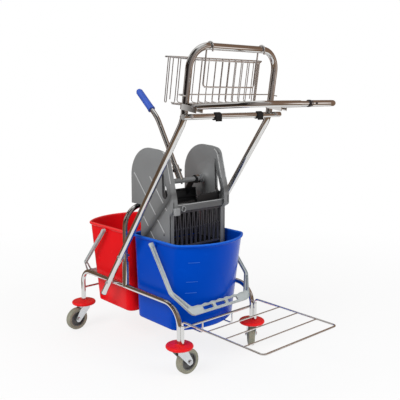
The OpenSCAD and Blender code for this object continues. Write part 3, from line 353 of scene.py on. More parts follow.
def offset_loop(loop, d):
    """Moves a closed loop to its left."""
    out = []
    n = len(loop)
    for i in range(n):
        p0, p1, p2 = Vector(loop[i - 1]), Vector(loop[i]), Vector(loop[(i + 1) % n])
        u, v = (p1 - p0).normalized(), (p2 - p1).normalized()
        n1, n2 = Vector((-u.y, u.x)), Vector((-v.y, v.x))
        out.append(tuple(p1 + (n1 + n2) * (d / max(1 + n1.dot(n2), LEAST_MITRE))))
    return out


def arc_points(c, r, a0, a1, n):
    """n steps along an arc between two angles in degrees."""
    return [(c[0] + r * math.cos(math.radians(a0 + (a1 - a0) * i / n)),
             c[1] + r * math.sin(math.radians(a0 + (a1 - a0) * i / n))) for i in range(n + 1)]


def line_points(a, b, n):
    """The points between the ends of a line in n steps."""
    return [(a[0] + (b[0] - a[0]) * i / n, a[1] + (b[1] - a[1]) * i / n) for i in range(1, n)]


def rounded(points, radius, n=6):
    """Fillets the corners of a closed polygon; radius is one number or one per corner."""
    out = []
    count = len(points)
    for i in range(count):
        r = radius[i] if isinstance(radius, (list, tuple)) else radius
        p0, p1, p2 = (Vector(points[(i + k) % count]) for k in (-1, 0, 1))
        u, v = (p0 - p1).normalized(), (p2 - p1).normalized()
        turn = math.pi - u.angle(v)
        if r <= 0 or turn < LEAST_TURN:
            out.append(tuple(p1))
            continue
        room = FILLET_SHARE * min((p0 - p1).length, (p2 - p1).length)
        back = min(r * math.tan(turn / 2), room)
        r = back / math.tan(turn / 2)
        a, b = p1 + u * back, p1 + v * back
        centre = p1 + (u + v).normalized() * math.hypot(r, back)
        ra, rb = a - centre, b - centre
        sweep = math.atan2(ra.x * rb.y - ra.y * rb.x, ra.dot(rb))
        for k in range(n + 1):
            t = sweep * k / n
            out.append((centre.x + ra.x * math.cos(t) - ra.y * math.sin(t),
                        centre.y + ra.x * math.sin(t) + ra.y * math.cos(t)))
    return out


def box_loop(x0, y0, x1, y1, r):
    return rounded([(x0, y0), (x1, y0), (x1, y1), (x0, y1)], r, 5)


def box_section(u, v):
    return [(-u, -v), (u, -v), (u, v), (-u, v)]


def hole(loop):
    return list(reversed(loop))


def clip(loop, p, d):
    """The part of a closed loop to the left of a line."""
    side = [d[0] * (y - p[1]) - d[1] * (x - p[0]) for x, y in loop]
    out = []
    for i, b in enumerate(loop):
        a, sa, sb = loop[i - 1], side[i - 1], side[i]
        if sa * sb < 0:
            t = sa / (sa - sb)
            out.append((a[0] + (b[0] - a[0]) * t, a[1] + (b[1] - a[1]) * t))
        if sb >= 0:
            out.append(b)
    return out


# Buckets. The sizes in capitals repeat those of the CAD solids.

BUCKET_Z, BUCKET_H = 122, 304
RIM_W, FOOT_W, RIM_LEN, FOOT_LEN, FOOT_INSET = 151, 140, 314, 261, 5
BOW_R, CORNER_R, LIP_OUT, WALL = 205, 30, 8, 3
BLUE_X, RED_X = -152.75, -176.75
PIVOT_X, PIVOT_DROP, PIVOT_R = 135, 18, 4
PIVOT_W = RIM_W + LIP_OUT + 0.5
PIVOT_Z = BUCKET_Z + BUCKET_H - PIVOT_DROP
EYE_LEN, EYE_CAP = 14, 2.5
FOOT_ROUND, FLOOR_ROUND, FLOOR_T = 8, 12, 4
BOSS_R = 10.0
BUCKET_SHARP = 50
RINGS_OUTSIDE, RINGS_INSIDE = (30, 90, 150, 210, 270), (270, 200, 130, 60, 30)

QUARTER = [math.radians(15 * k) for k in range(7)]
# Recess under the foot as (height, outwards), and rolled rim as (below the top, outwards)
FOOT_RECESS = [(3.0, -17.0), (2.6, -15.5), (0.4, -12.0), (0.0, -10.5)]
RIM_ROLL = [(14, 0.0), (12.4, 0.2), (11.4, 0.8), (10.6, 2.0), (10.0, 4.0), (9.2, 5.8), (7.8, 7.2),
            (5.8, LIP_OUT), (3.6, 7.8), (1.8, 6.8), (0.6, 5.2), (0, 3.0), (0, 0.8), (0.4, -0.9),
            (1.4, -2.1), (2.8, -2.8), (4.5, -WALL)]


def bucket_loop(x0, length, w, r):
    """Plan of a bucket: flat back at x0, straight sides, rounded corners and a bowed end."""
    bow_x = length - BOW_R
    corner_x = bow_x + math.sqrt((BOW_R - r) ** 2 - (w - r) ** 2)
    turn = math.degrees(math.atan2(w - r, corner_x - bow_x))
    parts = [arc_points((x0 + r, r - w), r, 180, 270, 8),
             line_points((x0 + r, -w), (corner_x, -w), 8),
             arc_points((corner_x, r - w), r, -90, -turn, 6),
             arc_points((bow_x, 0), BOW_R, -turn, turn, 40)[1:-1],
             arc_points((corner_x, w - r), r, turn, 90, 6),
             line_points((corner_x, w), (x0 + r, w), 8),
             arc_points((x0 + r, w - r), r, 90, 180, 8),
             line_points((x0, w - r), (x0, r - w), 12)]
    return [p for part in parts for p in part]


def bucket_reach(z):
    """Distance from the bucket's origin to its bowed end."""
    t = z / BUCKET_H
    return (FOOT_LEN + FOOT_INSET) * (1 - t) + RIM_LEN * t


def bucket_ring(z, out):
    t = z / BUCKET_H
    back = FOOT_INSET * (1 - t)
    half_w = FOOT_W * (1 - t) + RIM_W * t
    plan = bucket_loop(back - out, bucket_reach(z) + out, half_w + out, CORNER_R + out)
    return [(x, y, z) for x, y in plan]


def bucket(name, finish, node, place):
    levels = list(FOOT_RECESS)
    levels += [(FOOT_ROUND * (1 - math.cos(a)), FOOT_ROUND * (math.sin(a) - 1)) for a in QUARTER]
    levels += [(z, 0.0) for z in RINGS_OUTSIDE]
    levels += [(BUCKET_H - drop, out) for drop, out in RIM_ROLL]
    levels += [(z, -WALL) for z in RINGS_INSIDE]
    levels += [(FLOOR_T + FLOOR_ROUND * (1 - math.sin(a)), -WALL - FLOOR_ROUND * (1 - math.cos(a)))
               for a in QUARTER]
    shape = Shape()
    shape.rings([[place(*v) for v in bucket_ring(z, out)] for z, out in levels])
    pin_end = PIVOT_W + EYE_LEN - EYE_CAP
    pin = [(BOSS_R, RIM_W - 8), (BOSS_R, PIVOT_W - 1.6), (BOSS_R - 0.6, PIVOT_W - 0.8),
           (BOSS_R - 1.6, PIVOT_W - 0.5), (PIVOT_R, PIVOT_W - 0.5), (PIVOT_R, pin_end - 1.2),
           (PIVOT_R - 0.8, pin_end - 0.4)]
    for side in (-1, 1):
        def boss(a, b, c, s=side):
            return place(PIVOT_X + a, s * c, BUCKET_H - PIVOT_DROP + b)
        shape.turned(pin, boss, 32)
    piece(name, shape, finish, node, (node,), BUCKET_SHARP)


# Painted highlight: the top of each bucket's rolled rim is coloured lighter.
highlight_low, highlight_high = (BUCKET_Z + BUCKET_H - 6) * MM, (BUCKET_Z + BUCKET_H - 1) * MM
blue_rim_highlight = painted_rim_highlight(blue, "blue_rim_highlight", (0.020, 0.130, 0.60), highlight_low, highlight_high)
red_rim_highlight = painted_rim_highlight(red, "red_rim_highlight", (0.84, 0.050, 0.050), highlight_low, highlight_high)
bucket("bucket_blue_shell", blue_rim_highlight, "bucket_blue", lambda x, y, z: (BLUE_X + x, y, BUCKET_Z + z))
bucket("bucket_red_shell", red_rim_highlight, "bucket_red", lambda x, y, z: (RED_X - x, y, BUCKET_Z + z))

# Short level lines on the blue bucket's bowed end
LEVEL_HEIGHTS = (136, 175, 242)
LEVEL_START, LEVEL_END, LEVEL_LIFT = -35, -24, 0.2

marks = Shape()
for z in LEVEL_HEIGHTS:
    bow_centre = (BLUE_X + bucket_reach(z) - BOW_R, 0)
    line = arc_points(bow_centre, BOW_R + LEVEL_LIFT, LEVEL_START, LEVEL_END, 8)
    marks.strip([(x, y, BUCKET_Z + z) for x, y in line], box_section(0.7, 1.1), (0, 0, 1))
piece("bucket_blue_marks", marks, mark_blue, "bucket_blue", (), BUCKET_SHARP)


# Bails: a web with raised edges, a slot at each shoulder and a grip with three windows.
# A profile is (down from the pivot, across).

BAIL_TILT, BAIL_SHOULDER, BAIL_LEN, BAIL_W, GRIP_W = 39.2885, 180, 271, 182, 130
ARM_W, BAIL_T, GRIP_H = 12, 10, 30
EYE_TIP, EYE_ROOT, EYE_PLAY = 8.0, 7.6, 0.4
LOBES, LOBE_STEPS, LOBE_REACH, LOBE_DEPTH = 6, 10, 100, 1.5
WINDOW_W, WINDOW_H, WINDOW_PITCH, WINDOW_EDGE = 46, GRIP_H - 17, 57, 8
SHOULDER_SLOT = [(187, 174.5), (185, 168), (240, 131), (246, 139)]
WEB_T, FRAME_T, EDGE_W, WINDOW_FRAME, SLOT_FRAME = 4.5, 8.0, 2.6, 2.4, 1.6
BAIL_SHARP = 40


def mirrored(points):
    return [(s, -y) for s, y in points]


def bail_outline(mid):
    """Arms from the eyes at mid to the grip, with finger lobes along the grip's inner edge."""
    half = EYE_LEN / 2 - EYE_PLAY
    grip_in = BAIL_LEN - GRIP_H
    steps = LOBES * LOBE_STEPS
    lobes = [(grip_in + LOBE_DEPTH * (1 - math.cos(2 * math.pi * i / LOBE_STEPS)),
              LOBE_REACH * (1 - 2 * i / steps)) for i in range(steps + 1)]
    arm = [(EYE_ROOT, mid + half), (BAIL_SHOULDER, BAIL_W), (BAIL_LEN, GRIP_W)]
    arm_in = [(EYE_ROOT, mid - half), (BAIL_SHOULDER - 4, BAIL_W - ARM_W),
              (grip_in, GRIP_W - ARM_W / 2)]
    points = mirrored(arm) + arm[::-1] + arm_in + lobes + mirrored(arm_in[::-1])
    radii = [0, 30, 24, 24, 30, 0, 0, 18, 14] + [0] * len(lobes) + [14, 18, 0]
    return rounded(points, radii, 8)


def bail(name, node, place):
    mid = PIVOT_W + EYE_LEN / 2
    outline = bail_outline(mid)
    low = BAIL_LEN - WINDOW_EDGE
    windows = [box_loop(low - WINDOW_H, y - WINDOW_W / 2, low, y + WINDOW_W / 2, 4)
               for y in (-WINDOW_PITCH, 0, WINDOW_PITCH)]
    slots = [rounded(SHOULDER_SLOT[::-1], 2.5, 4), rounded(mirrored(SHOULDER_SLOT), 2.5, 4)]
    shape = Shape()
    shape.plate([outline] + [hole(w) for w in windows + slots], WEB_T, 0.8, place, 2)
    shape.plate([outline, hole(offset_loop(outline, EDGE_W))], BAIL_T, 1.1, place, 2)
    for w in windows:
        shape.plate([offset_loop(w, -WINDOW_FRAME), hole(w)], FRAME_T, 0.8, place, 2)
    for w in slots:
        shape.plate([offset_loop(w, -SLOT_FRAME), hole(w)], FRAME_T, 0.7, place, 2)
    block = box_loop(-EYE_TIP, -BAIL_T / 2, EYE_TIP, BAIL_T / 2, 2.5)
    bore = arc_points((0, 0), PIVOT_R + 0.1, 0, 345, 23)
    for side in (-1, 1):
        def eye(shift, s=side):
            return lambda a, b, c: place(a, s * (mid + shift + c), b)
        shape.plate([block, hole(bore)], EYE_LEN - 1, 0.2, eye(-0.5), 2)
        shape.plate([block], EYE_CAP, 0.7, eye((EYE_LEN - EYE_CAP) / 2), 2)
    piece(name, shape, light_grey, node, (node,), BAIL_SHARP)


def bail_place(pivot_x, lean):
    c, s = math.cos(math.radians(BAIL_TILT)), math.sin(math.radians(BAIL_TILT)) * lean

    def place(down, y, w):
        return (pivot_x + down * s + w * c, y, PIVOT_Z - down * c + w * s)
    return place


bail("bail_blue_channel", "bail_blue", bail_place(BLUE_X + PIVOT_X, 1))
bail("bail_red_channel", "bail_red", bail_place(RED_X - PIVOT_X, -1))


# Wringer, measured from the middle of the hoop's top bar

POST_X, HOOP_Z = -165.75, 518
PLATE_IN, PLATE_T, POST_W = 121, 7, 13
PLATE_OUT = PLATE_IN + PLATE_T
PLATE_TOP, PLATE_R, PLATE_FRONT, PLATE_DROP = 213, 103, 217, 210
POST_FRONT = PLATE_FRONT - 19
SHAFT = (104, 90)
HOOK_R, HOOK_Z, HOOK_H, HOOK_W = 18, 9.3, 14, 40
TOP_X, TOP_Z = PLATE_FRONT - 37, PLATE_TOP - 31
CREASE_FRONT, CREASE_BACK, CREASE_W = (PLATE_FRONT - 12, 50), (60, -110), 15
CREASE_STEP = 1.5
BOSS_IN, BOSS_BORE, BOSS_LIP = PLATE_IN - 27, 9.1, 14.5
FLARE_R, FLARE_GROWS, FLARE_LEN, FLARE_STEPS = 15.5, 48, 26.5, 16
SLOT_MID, SLOT_DEPTH, SHADE_LINING_DEPTH = PLATE_OUT - 6.5, 15.5, 12.5
SCREW_AT, SCREW_R = (170, -78), 3.4
RIB_HALF, RIB_T = 1.5, 2.8
# Ribs as (start, end, lift above the plate)
RIBS = [((1, 121), (122, -14), 0.2), ((91, 115), (165, 30), 0.2), ((54, -30), (81, -60), 0.2),
        ((136, -30), (172, -70), 1.7), ((178, 16), (185, 8), 1.7), ((95, -76), (117, -100), 1.7)]
# Section of the crease between the plate's two halves as (across it, out of the plate)
GROOVE = [(-1.0, -6.4), (CREASE_W + 2.5, -6.4), (CREASE_W + 2.5, -0.1), (CREASE_W + 2.2, 0.1),
          (CREASE_W, 0.1), (12, -0.6), (9, -1.6), (6, -2.9), (3, -4.3), (0.5, -5.3), (-1.0, -5.6)]
# Front edge of the plate from the top of the post downwards
FRONT_EDGE = [(PLATE_FRONT - 2, 55), (PLATE_FRONT, 40), (PLATE_FRONT, 10), (PLATE_FRONT - 5, 2),
              (POST_FRONT, -5)]
SLOT = [(158, 160)] + arc_points((174, 60), 14, 182, 376, 18)


def wringer_at(x, y, z):
    return (POST_X + x, y, HOOP_Z + z)


def wringer_piece(name, shape, finish, stands_for=()):
    piece(name, shape, finish, "wringer", stands_for)


# The side plates' grey carries painted shade in a band along the crease between the plate's two
# halves.
along = (Vector(CREASE_BACK) - Vector(CREASE_FRONT)).normalized()
upper_side = Vector((along.y, -along.x))
crease_at = -upper_side.dot((POST_X + CREASE_FRONT[0], HOOP_Z + CREASE_FRONT[1])) * MM
plate_grey_crease_shade = painted_crease_shade(mid_grey, "plate_grey_crease_shade", (-upper_side.x, 0, -upper_side.y), crease_at,
                    ((-0.030, 1.0), (-0.016, 0.80), (-0.004, 0.46), (0.004, 0.60), (0.013, 1.0)))


def plate_outline():
    back = [(-HOOK_R, HOOK_Z)]
    back += arc_points((PLATE_R - HOOK_R, PLATE_TOP - PLATE_R), PLATE_R, 180, 90, 24)
    crown = [(TOP_X - 44, PLATE_TOP - 3)] + arc_points((TOP_X - 30, TOP_Z - 9), 34, 74, 16, 10)
    foot = [(POST_FRONT, -PLATE_DROP), (58, -PLATE_DROP), (36, -95), (34, HOOK_Z)]
    return hole(back + crown + rounded(FRONT_EDGE + foot, [30, 12, 10, 8, 8, 14, 14, 60, 3], 5))


def plate_flange():
    """Edge of the plate's front and post, as deep as the post."""
    edge = [(TOP_X - 2, TOP_Z + 2)] + FRONT_EDGE + [(POST_FRONT, -PLATE_DROP)]
    inner = [(POST_FRONT - 4, -PLATE_DROP), (POST_FRONT - 4, -3), (PLATE_FRONT - 9, 5),
             (PLATE_FRONT - 5, 12), (PLATE_FRONT - 5, 39), (PLATE_FRONT - 7, 54),
             (TOP_X - 8, TOP_Z + 1)]
    return rounded(hole(edge + inner), [3, 26, 10, 8, 6, 4, 0, 1, 4, 6, 8, 10, 30, 3], 5)


def plate_rim():
    """Raised band beside the front edge."""
    band = [(TOP_X - 2, TOP_Z + 2), (TOP_X - 15, TOP_Z + 2), (PLATE_FRONT - 14, 55),
            (PLATE_FRONT - 14, 12), (PLATE_FRONT - 11, 5), (PLATE_FRONT - 5, 2), (PLATE_FRONT, 10),
            (PLATE_FRONT, 40), (PLATE_FRONT - 2, 55)]
    return rounded(band, [6, 6, 20, 8, 4, 6, 8, 10, 30], 5)


def plate_ribs(at, side):
    """Ribs on the outer face, and a bead on both edges of the front corner, lighter grey as a
    painted highlight.
    """
    ribs = Shape()
    for a, b, lift in RIBS:
        d = (Vector(b) - Vector(a)).normalized()
        n = Vector((-d.y, d.x)) * RIB_HALF
        corners = [Vector(a) - n, Vector(b) - n, Vector(b) + n, Vector(a) + n]
        rib = rounded([tuple(c) for c in corners], 1.2, 3)
        ribs.plate([rib], RIB_T, 0.9, at(PLATE_OUT + lift), 2)
    for mid, inset in ((PLATE_OUT - 0.4, 0), (PLATE_IN - POST_W + 0.5, 3)):
        bead = arc_points((TOP_X - 30, TOP_Z - 9), 33 - inset, 66, 16, 8)
        bead.append((PLATE_FRONT - 14 - inset, 100))
        ribs.strip([at(mid)(*p, 0) for p in bead], box_section(1.1, 0.8), (0, side, 0))
    return ribs


def wringer_plate(end, side):
    """One side plate, with painted shade along its crease, a dark sheet in its slot as painted
    shade, a screw head and ribs in a lighter grey as painted highlights; side is -1 or 1 across.
    """
    def at(mid):
        return lambda u, v, w: wringer_at(u, side * (mid + w), v)

    def turned_at(centre):
        return lambda a, b, c: wringer_at(centre[0] + a, side * c, centre[1] + b)

    outline = plate_outline()
    shape = Shape()
    upper = clip(outline, Vector(CREASE_FRONT) + upper_side * CREASE_W, -along)
    lower = clip(outline, CREASE_FRONT, along)
    shape.plate([upper, hole(SLOT)], PLATE_T, 2.0, at(PLATE_IN + PLATE_T / 2))
    shape.plate([lower], PLATE_T + CREASE_STEP, 2.4, at(PLATE_IN + PLATE_T / 2 + CREASE_STEP / 2))
    ends = (Vector(CREASE_FRONT) - along * 6, Vector(CREASE_BACK) + along * 20)
    groove = [(-side * u, t) for u, t in GROOVE]
    shape.strip([at(PLATE_OUT)(*p, 0) for p in ends], groove, (0, side, 0))
    shape.plate([offset_loop(SLOT, -3.5), hole(SLOT)], SLOT_DEPTH, 1.2, at(SLOT_MID), 2)
    shape.plate([plate_flange()], POST_W + PLATE_T, 1.5, at(PLATE_OUT - (POST_W + PLATE_T) / 2))
    shape.plate([plate_rim()], 6.0, 1.8, at(PLATE_OUT + 0.6))
    hook = box_loop(-HOOK_R, HOOK_Z, HOOK_R, HOOK_Z + HOOK_H, 3)
    shape.plate([hook], HOOK_W, 1.5, at(PLATE_IN - 19), 2)
    boss = [(BOSS_BORE, BOSS_IN), (BOSS_LIP, BOSS_IN)]
    for k in range(FLARE_STEPS + 1):
        t = k / FLARE_STEPS
        boss.append((FLARE_R + FLARE_GROWS * t ** 2.6, BOSS_IN + 1 + FLARE_LEN * t ** 0.62))
    boss.append((BOSS_BORE, PLATE_IN + 0.5))
    shape.turned(boss, turned_at(SHAFT), 56, True)

    # Dark sheet inside the slot: painted shade where the slot's wall lies in shadow.
    slot_shade = Shape()
    slot_shade.plate([offset_loop(SLOT, -0.4), hole(offset_loop(SLOT, 1.0))], SHADE_LINING_DEPTH, 0.4,
                 at(SLOT_MID), 2)
    screw = Shape()
    screw.turned([(SCREW_R, PLATE_OUT + 1.0), (SCREW_R, PLATE_OUT + 1.8)], turned_at(SCREW_AT), 20)
    wringer_piece("wringer_slot_shade_" + end, slot_shade, shade_and_screw_dark)
    wringer_piece("wringer_screw_" + end, screw, shade_and_screw_dark)
    wringer_piece("wringer_rib_highlights_" + end, plate_ribs(at, side), rib_highlight_grey)
    wringer_piece("wringer_side_" + end, shape, plate_grey_crease_shade, stands_for=("wringer_plate_" + end,))


wringer_plate("left", -1)
wringer_plate("right", 1)


# Wringer beam, its lip, the lug with a ring, the grid and the comb

BEAM_FRONT, BEAM_T, BEAM_Z, BEAM_H = PLATE_FRONT - 10, 16, 2, 22
BEAM_BACK, BEAM_TOP = BEAM_FRONT - BEAM_T, BEAM_Z + BEAM_H
BEAM_HALF = PLATE_IN - 0.05
LUG_LEFT, LUG_RIGHT, LUG_T = -128, -106, 12
RING_AT, RING_R, RING_BORE, RING_T = (-77, 11), 10, 6.5, 6
GRID_X, GRID_TOP, GRID_H, SLATS = POST_FRONT - 8.05, BEAM_Z - 0.05, 128.9, 21
GRID_LOW = GRID_TOP - GRID_H
GRID_BAR_T, SLAT_T, SLAT_LEAN = 7.8, 5.2, 3.6
COMB_START, COMB_END, COMB_STEP, COMB_POINTS = -112, 110, 2, 112


def across(u, v, w):
    """Profile in the side view, extruded across the trolley."""
    return wringer_at(u, w, v)


def upright(x):
    """Profile in the front view, extruded fore and aft."""
    return lambda u, v, w: wringer_at(x + w, u, v)


beam = Shape()
profile = [(BEAM_BACK, BEAM_Z), (BEAM_FRONT - 1.5, BEAM_Z), (BEAM_FRONT, BEAM_Z + 2),
           (BEAM_FRONT, BEAM_TOP - 5), (BEAM_FRONT - 2.5, BEAM_TOP - 3),
           (BEAM_FRONT - 2.5, BEAM_TOP), (BEAM_BACK, BEAM_TOP)]
beam.plate([rounded(profile, [1.5, 2, 2, 1.5, 1.5, 1, 1.5], 4)], 2 * BEAM_HALF, 0.6, across, 2)
hump = [(-104, BEAM_TOP - 2), (-40, BEAM_TOP - 2), (-44, BEAM_TOP + 1.5), (-66, BEAM_TOP + 3.5),
        (-92, BEAM_TOP + 3), (-102, BEAM_TOP + 0.5)]
beam.plate([rounded(hump, 5, 5)], 9, 1.2, upright(BEAM_BACK + 7), 2)
wringer_piece("wringer_front_beam", beam, beam_grey, stands_for=("wringer_beam",))

# Thin strip in the lighter grey along the beam's top front edge, a painted highlight.
lip = Shape()
lip.plate([box_loop(1 - BEAM_HALF, BEAM_TOP - 1.6, BEAM_HALF - 1, BEAM_TOP + 0.6, 0.6)], 2.4, 0.5,
          upright(BEAM_FRONT - 3.2), 2)
wringer_piece("wringer_beam_lip_highlight", lip, rib_highlight_grey)

lug = Shape()
lug.plate([box_loop(LUG_LEFT, BEAM_Z - 7, LUG_RIGHT, BEAM_Z + 18, 2.5)], LUG_T, 2.2,
          upright(PLATE_FRONT + 6.05), 4)
ring, ring_bore = (arc_points(RING_AT, r, 0, 352.5, 47) for r in (RING_R, RING_BORE))
lug.plate([ring, hole(ring_bore)], RING_T, 1.4, upright(BEAM_FRONT + 3.05))
wringer_piece("wringer_end_lug", lug, lug_grey, ("wringer_lug",))

grid = Shape()
for low, high, thick, x in ((GRID_TOP - 10, GRID_TOP, GRID_BAR_T, GRID_X),
                            (GRID_LOW, GRID_LOW + 7, GRID_BAR_T, GRID_X),
                            (GRID_LOW + 61, GRID_LOW + 67, 3, GRID_X - 2.2)):
    grid.plate([box_loop(-BEAM_HALF, low, BEAM_HALF, high, 1.5)], thick, 0.8, upright(x), 2)
pitch = 2 * (BEAM_HALF - 16) / (SLATS - 1)
for k in range(SLATS):
    y = (k - (SLATS - 1) / 2) * pitch
    lean, x = (SLAT_LEAN, GRID_X + 1.2) if k % 2 else (-SLAT_LEAN, GRID_X - 0.6)
    slat = [(y + lean - 2.6, GRID_LOW + 3), (y + lean + 2.6, GRID_LOW + 3),
            (y - lean + 2.2, GRID_TOP - 4), (y - lean - 2.2, GRID_TOP - 4)]
    grid.plate([slat], SLAT_T, 1.6, upright(x))
wringer_piece("wringer_grid_slats", grid, slat_grey, ("wringer_grid",))


def comb_height(i):
    """Wavy top edge that falls slowly, with a notch and a lower half after its middle."""
    drop = 14 if i > 52 else 0
    notch = 12 * math.exp(-((i - 53) / 4) ** 2)
    return 50 - 0.09 * i + 2.2 * math.sin(1.3 * i) - drop - notch


# Toothed black strip behind the beam
comb = Shape()
teeth = [(COMB_END - COMB_STEP * i, comb_height(i)) for i in range(COMB_POINTS)]
foot = [(COMB_START, BEAM_Z + 1), (COMB_END, BEAM_Z + 1)]
comb.plate([foot + teeth], 5, 1.0, upright(BEAM_BACK - 5.5), 2)
wringer_piece("wringer_comb", comb, black_plastic)


# Camera, as solved from the photograph

CAMERA_AT = (1.6206, -1.4159, 0.9102)
CAMERA_AIM = (-0.7402, 0.6621, -0.1167)


def look(obj, place, direction):
    obj.location = place
    obj.rotation_mode = "QUATERNION"
    obj.rotation_quaternion = Vector(direction).to_track_quat("-Z", "Y")


cam_data = bpy.data.cameras.new("camera")
cam = bpy.data.objects.new("camera", cam_data)
scene.collection.objects.link(cam)
scene.camera = cam
look(cam, CAMERA_AT, CAMERA_AIM)
cam_data.lens = 56.06
cam_data.sensor_width = 36
cam_data.shift_x = 0.0017
cam_data.shift_y = -0.0794
cam_data.clip_end = 100

scene.view_settings.view_transform = "Standard"


# World and floor: white to the camera and in reflections, and a plain light otherwise

WORLD_LIGHT = 0.62
FLOOR_SIZE = 60
# Share of white in the floor from near the trolley to far from it, in metres
FLOOR_NEAR, FLOOR_FAR, NEAR_WHITE = 0.5, 2.2, 0.80


def seen_ray(nt):
    """1 for camera, glossy and transmission rays."""
    path = nt.nodes.new("ShaderNodeLightPath").outputs
    glossy = calc(nt, "MAXIMUM", path["Is Camera Ray"], path["Is Glossy Ray"])
    return calc(nt, "MAXIMUM", glossy, path["Is Transmission Ray"])


def emission(nt):
    node = nt.nodes.new("ShaderNodeEmission")
    node.inputs["Strength"].default_value = 1.0
    return node


def stage_object(name, verts, faces, mat):
    mesh = bpy.data.meshes.new(name)
    mesh.from_pydata(verts, [], faces)
    mesh.materials.append(mat)
    obj = bpy.data.objects.new(name, mesh)
    scene.collection.objects.link(obj)
    return obj


world = bpy.data.worlds.new("studio")
scene.world = world
world.use_nodes = True
wt = world.node_tree
light = wt.nodes["Background"]
light.inputs["Color"].default_value = (1, 1, 1, 1)
light.inputs["Strength"].default_value = WORLD_LIGHT
white = wt.nodes.new("ShaderNodeBackground")
white.inputs["Color"].default_value = (1, 1, 1, 1)
white.inputs["Strength"].default_value = 1.0
wt.links.new(mix_shader(wt, seen_ray(wt), light.outputs[0], white.outputs[0]),
             wt.nodes["World Output"].inputs["Surface"])

floor_mat = bpy.data.materials.new("floor")
floor_mat.use_nodes = True
ft = floor_mat.node_tree
ground = ft.nodes["Principled BSDF"]
ground.inputs["Base Color"].default_value = (0.88, 0.88, 0.88, 1)
ground.inputs["Roughness"].default_value = 0.6
ground.inputs["Specular IOR Level"].default_value = 0.1
away = ft.nodes.new("ShaderNodeVectorMath")
away.operation = "LENGTH"
ft.links.new(object_space(ft), away.inputs[0])
whiteness = spread(ft, away.outputs["Value"], NEAR_WHITE, 1.0, FLOOR_NEAR, FLOOR_FAR)
ft.links.new(mix_shader(ft, calc(ft, "MULTIPLY", seen_ray(ft), whiteness), ground.outputs[0],
                        emission(ft).outputs[0]),
             ft.nodes["Material Output"].inputs["Surface"])
corners = [(x, y, 0) for x, y in box_section(FLOOR_SIZE / 2, FLOOR_SIZE / 2)]
stage_object("floor", corners, [(0, 1, 2, 3)], floor_mat)


# Surround that only reflections see: a brown curtain, paler or dark above, with bright strips

SURROUND_AT, SURROUND_R, SURROUND_H, SURROUND_SIDES = (-0.05, 0.40), 1.2, 4.0, 72
# Colours by bearing in degrees, for the curtain and for what is above it
CURTAIN = [(-180, (0.20, 0.136, 0.094)), (-150, (0.18, 0.120, 0.080)),
           (-122, (0.085, 0.055, 0.038)), (-96, (0.024, 0.017, 0.015)), (-64, (0.022, 0.017, 0.016)),
           (-46, (0.29, 0.250, 0.235)), (-4, (0.28, 0.230, 0.205)), (14, (0.26, 0.165, 0.115)),
           (88, (0.25, 0.160, 0.110)), (112, (0.12, 0.078, 0.054)), (180, (0.20, 0.136, 0.094))]
ABOVE = [(-180, (0.62, 0.61, 0.60)), (-150, (0.60, 0.59, 0.57)), (-128, (0.75, 0.74, 0.73)),
         (-108, (0.70, 0.69, 0.68)), (-96, (0.05, 0.045, 0.04)), (-50, (0.05, 0.045, 0.04)),
         (-34, (0.55, 0.54, 0.53)), (4, (0.50, 0.48, 0.46)), (18, (0.24, 0.152, 0.106)),
         (112, (0.19, 0.122, 0.085)), (140, (0.50, 0.48, 0.46)), (180, (0.62, 0.61, 0.60))]
HEM_DARK, HEM_LIGHT = (0.13, 0.087, 0.055), (0.25, 0.165, 0.110)
# Brightness of the strips by bearing in degrees and by height in metres
STRIPS = [(-122, 0), (-118, 0.8), (-110, 0.8), (-106, 0), (13, 0), (16, 0.8), (24, 0.8), (27, 0),
          (100, 0), (103, 0.6), (107, 0.6), (110, 0)]
STRIP_HEIGHTS = [(0.6, 0), (0.75, 1), (1.05, 1), (1.15, 0)]
# Heights in metres where the hem turns to curtain, and the curtain to what is above it
HEM_FROM, HEM_TO, CURTAIN_FROM, CURTAIN_TO = 0.40, 0.70, 1.25, 1.6


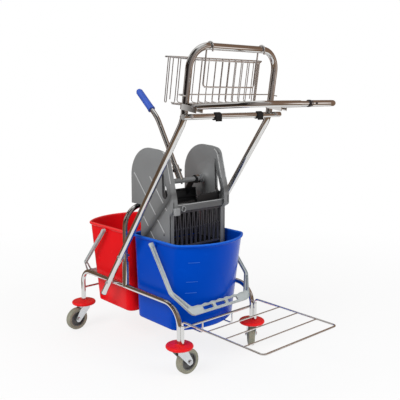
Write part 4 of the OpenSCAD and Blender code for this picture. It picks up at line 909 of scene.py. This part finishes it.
def surround_material():
    m = bpy.data.materials.new("curtain")
    m.use_nodes = True
    nt = m.node_tree
    x, y, z = split(nt, object_space(nt))
    bearing = spread(nt, calc(nt, "ARCTAN2", y, x), 0, 1, -math.pi, math.pi)
    height = spread(nt, z, 0, 1, 0, SURROUND_H)

    def by_bearing(stops):
        return ramp(nt, bearing, [((a + 180) / 360, colour) for a, colour in stops])

    def between(low, high):
        return spread(nt, height, 0, 1, low / SURROUND_H, high / SURROUND_H)

    def greys(stops):
        return [(at, (k, k, k)) for at, k in stops]

    sides = blend(nt, "MIX", by_bearing(CURTAIN), by_bearing(ABOVE),
                  between(CURTAIN_FROM, CURTAIN_TO))
    hem = two_tone(nt, noise(nt, 2.2, 2, stretch=(1, 1, 0.3)), HEM_DARK, HEM_LIGHT, 0.38, 0.58)
    wall = blend(nt, "MIX", hem, sides, between(HEM_FROM, HEM_TO))
    strip_heights = ramp(nt, height, [(h / SURROUND_H, c) for h, c in greys(STRIP_HEIGHTS)])
    strips = blend(nt, "MULTIPLY", by_bearing(greys(STRIPS)), strip_heights)
    glow = emission(nt)
    nt.links.new(blend(nt, "ADD", wall, strips), glow.inputs["Color"])
    nt.links.new(glow.outputs[0], nt.nodes["Material Output"].inputs["Surface"])
    return m


n = SURROUND_SIDES
turns = [(SURROUND_R * math.cos(2 * math.pi * i / n), SURROUND_R * math.sin(2 * math.pi * i / n))
         for i in range(n)]
walls = [(i, (i + 1) % n, n + (i + 1) % n, n + i) for i in range(n)]
surround = stage_object("curtain", [(x, y, z) for z in (0.0, SURROUND_H) for x, y in turns], walls,
                        surround_material())
surround.location = (*SURROUND_AT, 0)
surround.visible_camera = False
surround.visible_diffuse = False
surround.visible_shadow = False
surround.visible_transmission = False


# Lamps

LAMP_TARGET = Vector((0, 0, 0.5))


def lamp(name, energy, size, place):
    data = bpy.data.lights.new(name, "AREA")
    data.energy = energy
    data.shape = "RECTANGLE"
    data.size, data.size_y = size
    obj = bpy.data.objects.new(name, data)
    scene.collection.objects.link(obj)
    look(obj, place, LAMP_TARGET - Vector(place))


lamp("key", 60, (1.6, 1.6), (0.3, -2.6, 2.6))
lamp("fill", 30, (1.2, 2.0), (2.8, 0.9, 1.8))
